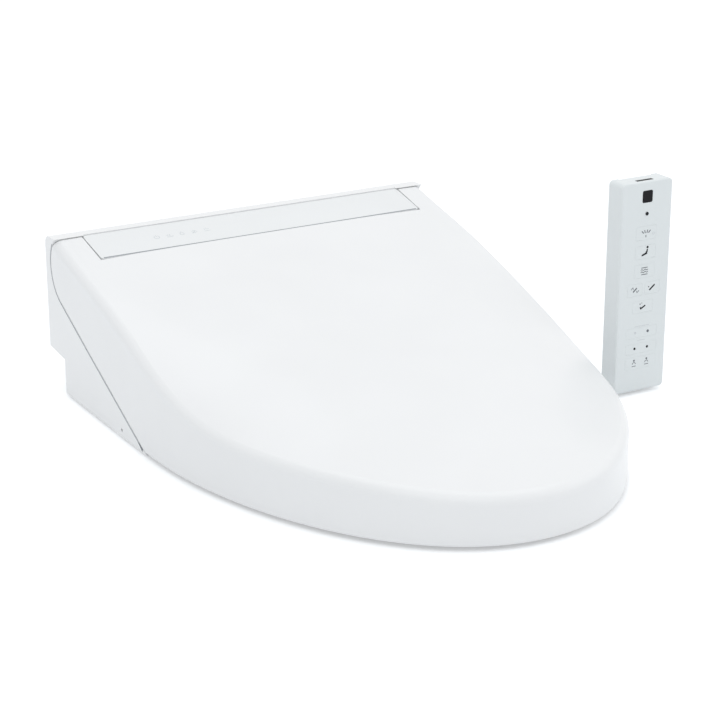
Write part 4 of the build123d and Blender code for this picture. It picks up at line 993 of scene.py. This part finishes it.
@dataclass
class LidPosts:
    """Moulded posts of the lid, each with a flared root round its rubber foot."""

    palette: Palette
    wall: float = 0.4 * MM
    root: float = 2.6 * MM
    flare: float = 5.0 * MM
    bare: float = 6.0 * MM
    chamfer: float = 0.5 * MM
    sunk: float = 0.4 * MM
    bend: float = 2.5
    flat: float = 0.05 * MM
    upright: float = 0.99
    sides: int = 40
    rows: int = 6

    def build(self) -> None:
        """Build one post for each rubber foot."""
        roof = Surface("lid_shell")
        for index, (foot, radius) in enumerate(self.feet()):
            form = self.post(roof, foot, radius)
            post = piece_from(form, f"lid_post_{index}", self.palette, Finish.WHITE_GLOSS)
            for face in post.data.polygons:
                face.use_smooth = abs(face.normal.z) < self.upright
            join_body(post, "lid")

    def feet(self) -> list[tuple[Vector, float]]:
        """Find the lid's rubber feet.

        Returns:
            The lowest point on each foot's axis, and its radius.
        """
        low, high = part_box("lid_bumpers")
        middle = (low[1] + high[1]) / 2
        soles: dict[tuple[bool, bool], list[Vector]] = {}
        for vertex in frame["nodes"]["lid_bumpers"].data.vertices:
            if vertex.co.z < low[2] + self.flat:
                soles.setdefault((vertex.co.x > 0, vertex.co.y > middle), []).append(vertex.co)
        found = []
        for _, sole in sorted(soles.items()):
            left, right = (pick(point.x for point in sole) for pick in (min, max))
            front, rear = (pick(point.y for point in sole) for pick in (min, max))
            found.append((Vector(((left + right) / 2, (front + rear) / 2, low[2])), (right - left) / 2))
        return found

    def post(self, roof: Surface, foot: Vector, radius: float) -> bmesh.types.BMesh:
        """Build one post.

        Args:
            roof: The lid's skin, whose underside the root follows.
            foot: Lowest point on the rubber foot's axis.
            radius: Radius of the rubber foot.

        Returns:
            The post as a closed mesh.
        """
        form = bmesh.new()
        bottom = foot.z + self.bare
        spread = radius + self.wall
        rings = [[form.verts.new(corner) for corner in self.circle(foot, spread - self.chamfer, bottom)],
                 [form.verts.new(corner) for corner in self.circle(foot, spread, bottom + self.chamfer)]]
        for row in range(self.rows + 1):
            share = row / self.rows
            drop = self.flare * (1 - share) - self.sunk * share
            ring = []
            for corner in self.circle(foot, spread + self.root * share ** self.bend, bottom):
                under, _ = roof.meet(corner, Vector((0, 0, 1)))
                ring.append(form.verts.new((corner.x, corner.y, under.z - drop)))
            rings.append(ring)
        for ring, above in zip(rings, rings[1:]):
            for side in range(self.sides):
                beside = (side + 1) % self.sides
                form.faces.new((ring[side], ring[beside], above[beside], above[side]))
        form.faces.new(rings[0][::-1])
        form.faces.new(rings[-1])
        return form

    def circle(self, foot: Vector, radius: float, height: float) -> list[Vector]:
        """Points round a foot's axis at one height.

        Args:
            foot: A point on the axis.
            radius: Radius of the circle.
            height: Its height.

        Returns:
            The points, anticlockwise.
        """
        turns = [math.tau * side / self.sides for side in range(self.sides)]
        return [Vector((foot.x + radius * math.cos(turn), foot.y + radius * math.sin(turn), height))
                for turn in turns]


@dataclass
class KeyWebs:
    """Soft webs that close the gaps round the handset's keys, in millimetres."""

    palette: Palette
    gap: float = 0.35
    clear: float = 0.03
    corner: float = 1.6
    below: float = 0.08
    deep: float = 0.8
    cap: float = 1.2

    def build(self) -> None:
        """Build the webs of every key as one piece."""
        form = bmesh.new()
        for key in sorted(name for name in frame["nodes"] if name.startswith("key_")):
            self.web(form, key)
        bmesh.ops.recalc_face_normals(form, faces=form.faces)
        webs = piece_from(form, "key_webs", self.palette, Finish.HANDSET_WHITE)
        join_body(webs, "handset")

    def web(self, form: bmesh.types.BMesh, key: str) -> None:
        """Add the web round one key.

        Args:
            form: The mesh to add to.
            key: The key's node.
        """
        low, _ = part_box(key)
        behind = low[1] + self.cap * MM
        face = [vertex.co for vertex in frame["nodes"][key].data.vertices if vertex.co.y < behind]
        left, right = (pick(point.x for point in face) for pick in (min, max))
        bottom, top = (pick(point.z for point in face) for pick in (min, max))
        middle = Vector(((left + right) / 2, low[1], (bottom + top) / 2))
        pad = PrintPad(middle, Vector((1, 0, 0)), Vector((0, 0, 1)), -self.below * MM, self.deep * MM)
        half_width = (right - left) / 2 / MM
        half_height = (top - bottom) / 2 / MM
        inner, outer = (rounded_loop(half_width + out, half_height + out, self.corner + out / 2)
                        for out in (self.clear, self.gap - self.clear))
        pad.ring(form, inner, outer)


@dataclass
class HandsetPrints:
    """Printed figures on the handset's keys and face."""

    palette: Palette
    scale: float = 1.15
    pair: float = 6.1
    aside: float = 9.0
    strong_dot: float = 1.15
    dot: float = 1.05
    lens_radius: float = 1.6
    lens_share: float = 0.15
    lens_lift: float = 0.5 * MM
    level_share: float = 0.683
    level_half: float = 8.0
    place_share: float = 0.752
    place_half: float = 4.0

    def pad_at(self, x: float, z: float, node: str) -> PrintPad:
        """Pad on the front of a node.

        Args:
            x: Place along X.
            z: Height.
            node: The CAD node printed on.

        Returns:
            The pad, facing the handset's front.
        """
        low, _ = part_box(node)
        point, _ = Surface(node).meet(Vector((x, low[1] - OFF, z)), Vector((0, 1, 0)))
        return PrintPad(point, Vector((1, 0, 0)), Vector((0, 0, 1)))

    def on_key(self, key: str, figures: list[Figure], ink: Finish) -> None:
        """Print on the middle of a key.

        Args:
            key: The key's node, which is also its body.
            figures: What to print.
            ink: The ink.
        """
        low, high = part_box(key)
        pad = self.pad_at((low[0] + high[0]) / 2, (low[2] + high[2]) / 2, key)
        marks = [figure.placed(0, 0, self.scale) for figure in figures]
        mark = pad.print(f"{key}_print_{ink.name.lower()}", marks, self.palette, ink)
        join_body(mark, key)

    def on_face(self, name: str, share: float, figures: list[Figure], ink: Finish,
                lift: float = INK_THICKNESS) -> None:
        """Print on the front shell's middle line.

        Args:
            name: The print's name.
            share: Place down the handset, 0 at the top.
            figures: What to print.
            ink: The ink.
            lift: How far it stands out.
        """
        low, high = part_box("remote_front_shell")
        x = (low[0] + high[0]) / 2 + self.aside * MM
        pad = self.pad_at(x, high[2] - (high[2] - low[2]) * share, "remote_front_shell")
        pad.lift = lift
        mark = pad.print(name, [figure.placed(-self.aside, 0) for figure in figures], self.palette, ink)
        join_body(mark, "handset")

    def build(self) -> None:
        """Print every figure."""
        left, right = -self.pair, self.pair
        self.on_key("key_rear_wash", [spray_figure()], Finish.INK_GREY)
        self.on_key("key_rear_wash", [Figure((arc(7.2, -1.2, 0.9, 0, 360, 20),), 0.4)], Finish.INK_FAINT)
        self.on_key("key_front_wash", [seated_figure()], Finish.INK_BLACK)
        self.on_key("key_soft_wash", [soft_figure()], Finish.INK_GREY)
        self.on_key("key_oscillate", [swing_figure()], Finish.INK_GREY)
        self.on_key("key_pulse", [pulse_figure()], Finish.INK_BLACK)
        self.on_key("key_dryer", [dryer_figure()], Finish.INK_BLACK)
        self.on_key("key_pressure", [Figure(dots=((right, 0.0, self.strong_dot),))], Finish.INK_GREY)
        self.on_key("key_pressure", [Figure(dots=((left, 0.0, self.dot),))], Finish.INK_FAINT)
        dots = tuple((x, 0.0, self.dot) for x in (left, right))
        self.on_key("key_position", [Figure(dots=dots)], Finish.INK_BLACK)
        self.on_key("key_user", [person_figure().placed(x, 0) for x in (left, right)], Finish.INK_GREY)
        lens = Figure(dots=((0.0, 0.0, self.lens_radius),))
        self.on_face("lamp_lens", self.lens_share, [lens], Finish.INK_BLACK, self.lens_lift)
        for name, share, half in (("level_line", self.level_share, self.level_half),
                                  ("place_line", self.place_share, self.place_half)):
            line = Figure(([(-half, 0.0), (half, 0.0)],), 0.5)
            self.on_face(name, share, [line], Finish.INK_FAINT)


# ---- studio -----------------------------------------------------------------
def background_rays(tree: bpy.types.NodeTree) -> bpy.types.NodeSocket:
    """Add the nodes that tell the rays which see the background.

    Args:
        tree: The node tree to add to.

    Returns:
        1 for camera, glossy and transmission rays, and 0 for the rays that only light the object.
    """
    rays = tree.nodes.new("ShaderNodeLightPath")
    total = rays.outputs["Is Camera Ray"]
    for kind in ("Is Glossy Ray", "Is Transmission Ray"):
        add = tree.nodes.new("ShaderNodeMath")
        add.operation = "ADD"
        add.use_clamp = True
        tree.links.new(total, add.inputs[0])
        tree.links.new(rays.outputs[kind], add.inputs[1])
        total = add.outputs["Value"]
    return total


@dataclass(frozen=True)
class Lamp:
    """Square area lamp: where it stands, its side and its power in watts."""

    name: str
    place: Place
    size: float
    power: float

    def build(self, look_at: Place) -> None:
        """Add the lamp to the scene.

        Args:
            look_at: The point that it is aimed at.
        """
        data = bpy.data.lights.new(self.name, "AREA")
        data.size = self.size
        data.energy = self.power
        lamp = bpy.data.objects.new(self.name, data)
        lamp.location = self.place
        way = Vector(look_at) - Vector(self.place)
        lamp.rotation_euler = way.to_track_quat("-Z", "Y").to_euler()
        bpy.context.scene.collection.objects.link(lamp)


@dataclass
class Studio:
    """Floor, world, camera and lamps: a soft key at the front left, a weak fill and a broad top."""

    floor_radius: float = 9.0
    floor_level: float = -0.4 * MM
    floor_sides: int = 96
    eye: Place = (-0.8673, -1.6406, 0.6615)
    look_at: Place = (-0.0045, -0.1731, 0.0618)
    lens: float = 105.0
    floor_grey: Colour = (0.86, 0.87, 0.88)
    floor_glow: float = 0.36
    glow_tint: Colour = (0.98, 0.99, 1.0)
    sky_tint: Colour = (0.96, 0.983, 1.0)
    sky_level: float = 0.79
    sky_white: Colour = (1.0, 1.0, 1.0)
    lamps: tuple[Lamp, ...] = (Lamp("key", (-1.1, -1.9, 1.9), 2.2, 6.9),
                               Lamp("fill", (1.9, -1.2, 1.2), 1.8, 4.0),
                               Lamp("top", (0.2, 0.2, 2.6), 2.6, 12.2))

    def build(self) -> None:
        """Set the whole studio up."""
        self.floor()
        self.sky()
        for lamp in self.lamps:
            lamp.build(self.look_at)
        self.camera()
        bpy.context.scene.view_settings.view_transform = "Standard"

    def floor(self) -> None:
        """Wide round floor that keeps the object's shadow on white."""
        form = bmesh.new()
        bmesh.ops.create_circle(form, cap_ends=True, segments=self.floor_sides, radius=self.floor_radius)
        mesh = bpy.data.meshes.new("floor")
        form.to_mesh(mesh)
        form.free()
        floor = bpy.data.objects.new("floor", mesh)
        floor.location.z = self.floor_level
        bpy.context.scene.collection.objects.link(floor)
        sheet = NodeSheet("floor_white")
        lit = sheet.add("ShaderNodeBsdfDiffuse")
        lit.inputs["Color"].default_value = (*self.floor_grey, 1.0)
        self.shine(sheet, lit.outputs["BSDF"])
        floor.data.materials.append(sheet.material)

    def shine(self, sheet: NodeSheet, lit: bpy.types.NodeSocket) -> None:
        """Add a white glow that only the picture and its reflections see.

        Args:
            sheet: The floor's node sheet.
            lit: The floor's own shader.
        """
        level = sheet.add("ShaderNodeMath", operation="MULTIPLY")
        sheet.link(background_rays(sheet.tree), level.inputs[0])
        level.inputs[1].default_value = self.floor_glow
        glow = sheet.add("ShaderNodeEmission")
        glow.inputs["Color"].default_value = (*self.glow_tint, 1.0)
        sheet.link(level.outputs["Value"], glow.inputs["Strength"])
        total = sheet.add("ShaderNodeAddShader")
        sheet.link(lit, total.inputs[0])
        sheet.link(glow.outputs["Emission"], total.inputs[1])
        sheet.link(total.outputs["Shader"], sheet.output.inputs["Surface"])

    def sky(self) -> None:
        """Even pale world, white where the camera and the reflections see it."""
        world = bpy.data.worlds.new("studio_world")
        bpy.context.scene.world = world
        world.use_nodes = True
        tree = world.node_tree
        tree.nodes.clear()
        output = tree.nodes.new("ShaderNodeOutputWorld")
        mix = tree.nodes.new("ShaderNodeMixShader")
        tree.links.new(background_rays(tree), mix.inputs["Fac"])
        for socket, colour, strength in ((1, self.sky_tint, self.sky_level), (2, self.sky_white, 1.0)):
            fill = tree.nodes.new("ShaderNodeBackground")
            fill.inputs["Color"].default_value = (*colour, 1.0)
            fill.inputs["Strength"].default_value = strength
            tree.links.new(fill.outputs["Background"], mix.inputs[socket])
        tree.links.new(mix.outputs["Shader"], output.inputs["Surface"])

    def camera(self) -> None:
        """Camera at the viewing angle, framed on the seat and the handset."""
        data = bpy.data.cameras.new("camera")
        data.lens = self.lens
        camera = bpy.data.objects.new("camera", data)
        way = Vector(self.look_at) - Vector(self.eye)
        turn = way.to_track_quat("-Z", "Y").to_matrix().to_4x4()
        camera.matrix_world = Matrix.Translation(self.eye) @ turn
        bpy.context.scene.collection.objects.link(camera)
        bpy.context.scene.camera = camera


def main() -> None:
    """Build the looks in order."""
    logging.basicConfig(level=logging.INFO, format="%(message)s")
    palette = Palette()
    CarriedNodes(palette).dress()
    DeckPrints(palette).build()
    SeamShadowLines(palette).build()
    LidPosts(palette).build()
    KeyWebs(palette).build()
    HandsetPrints(palette).build()
    Studio().build()


if __name__ == "__main__":
    main()
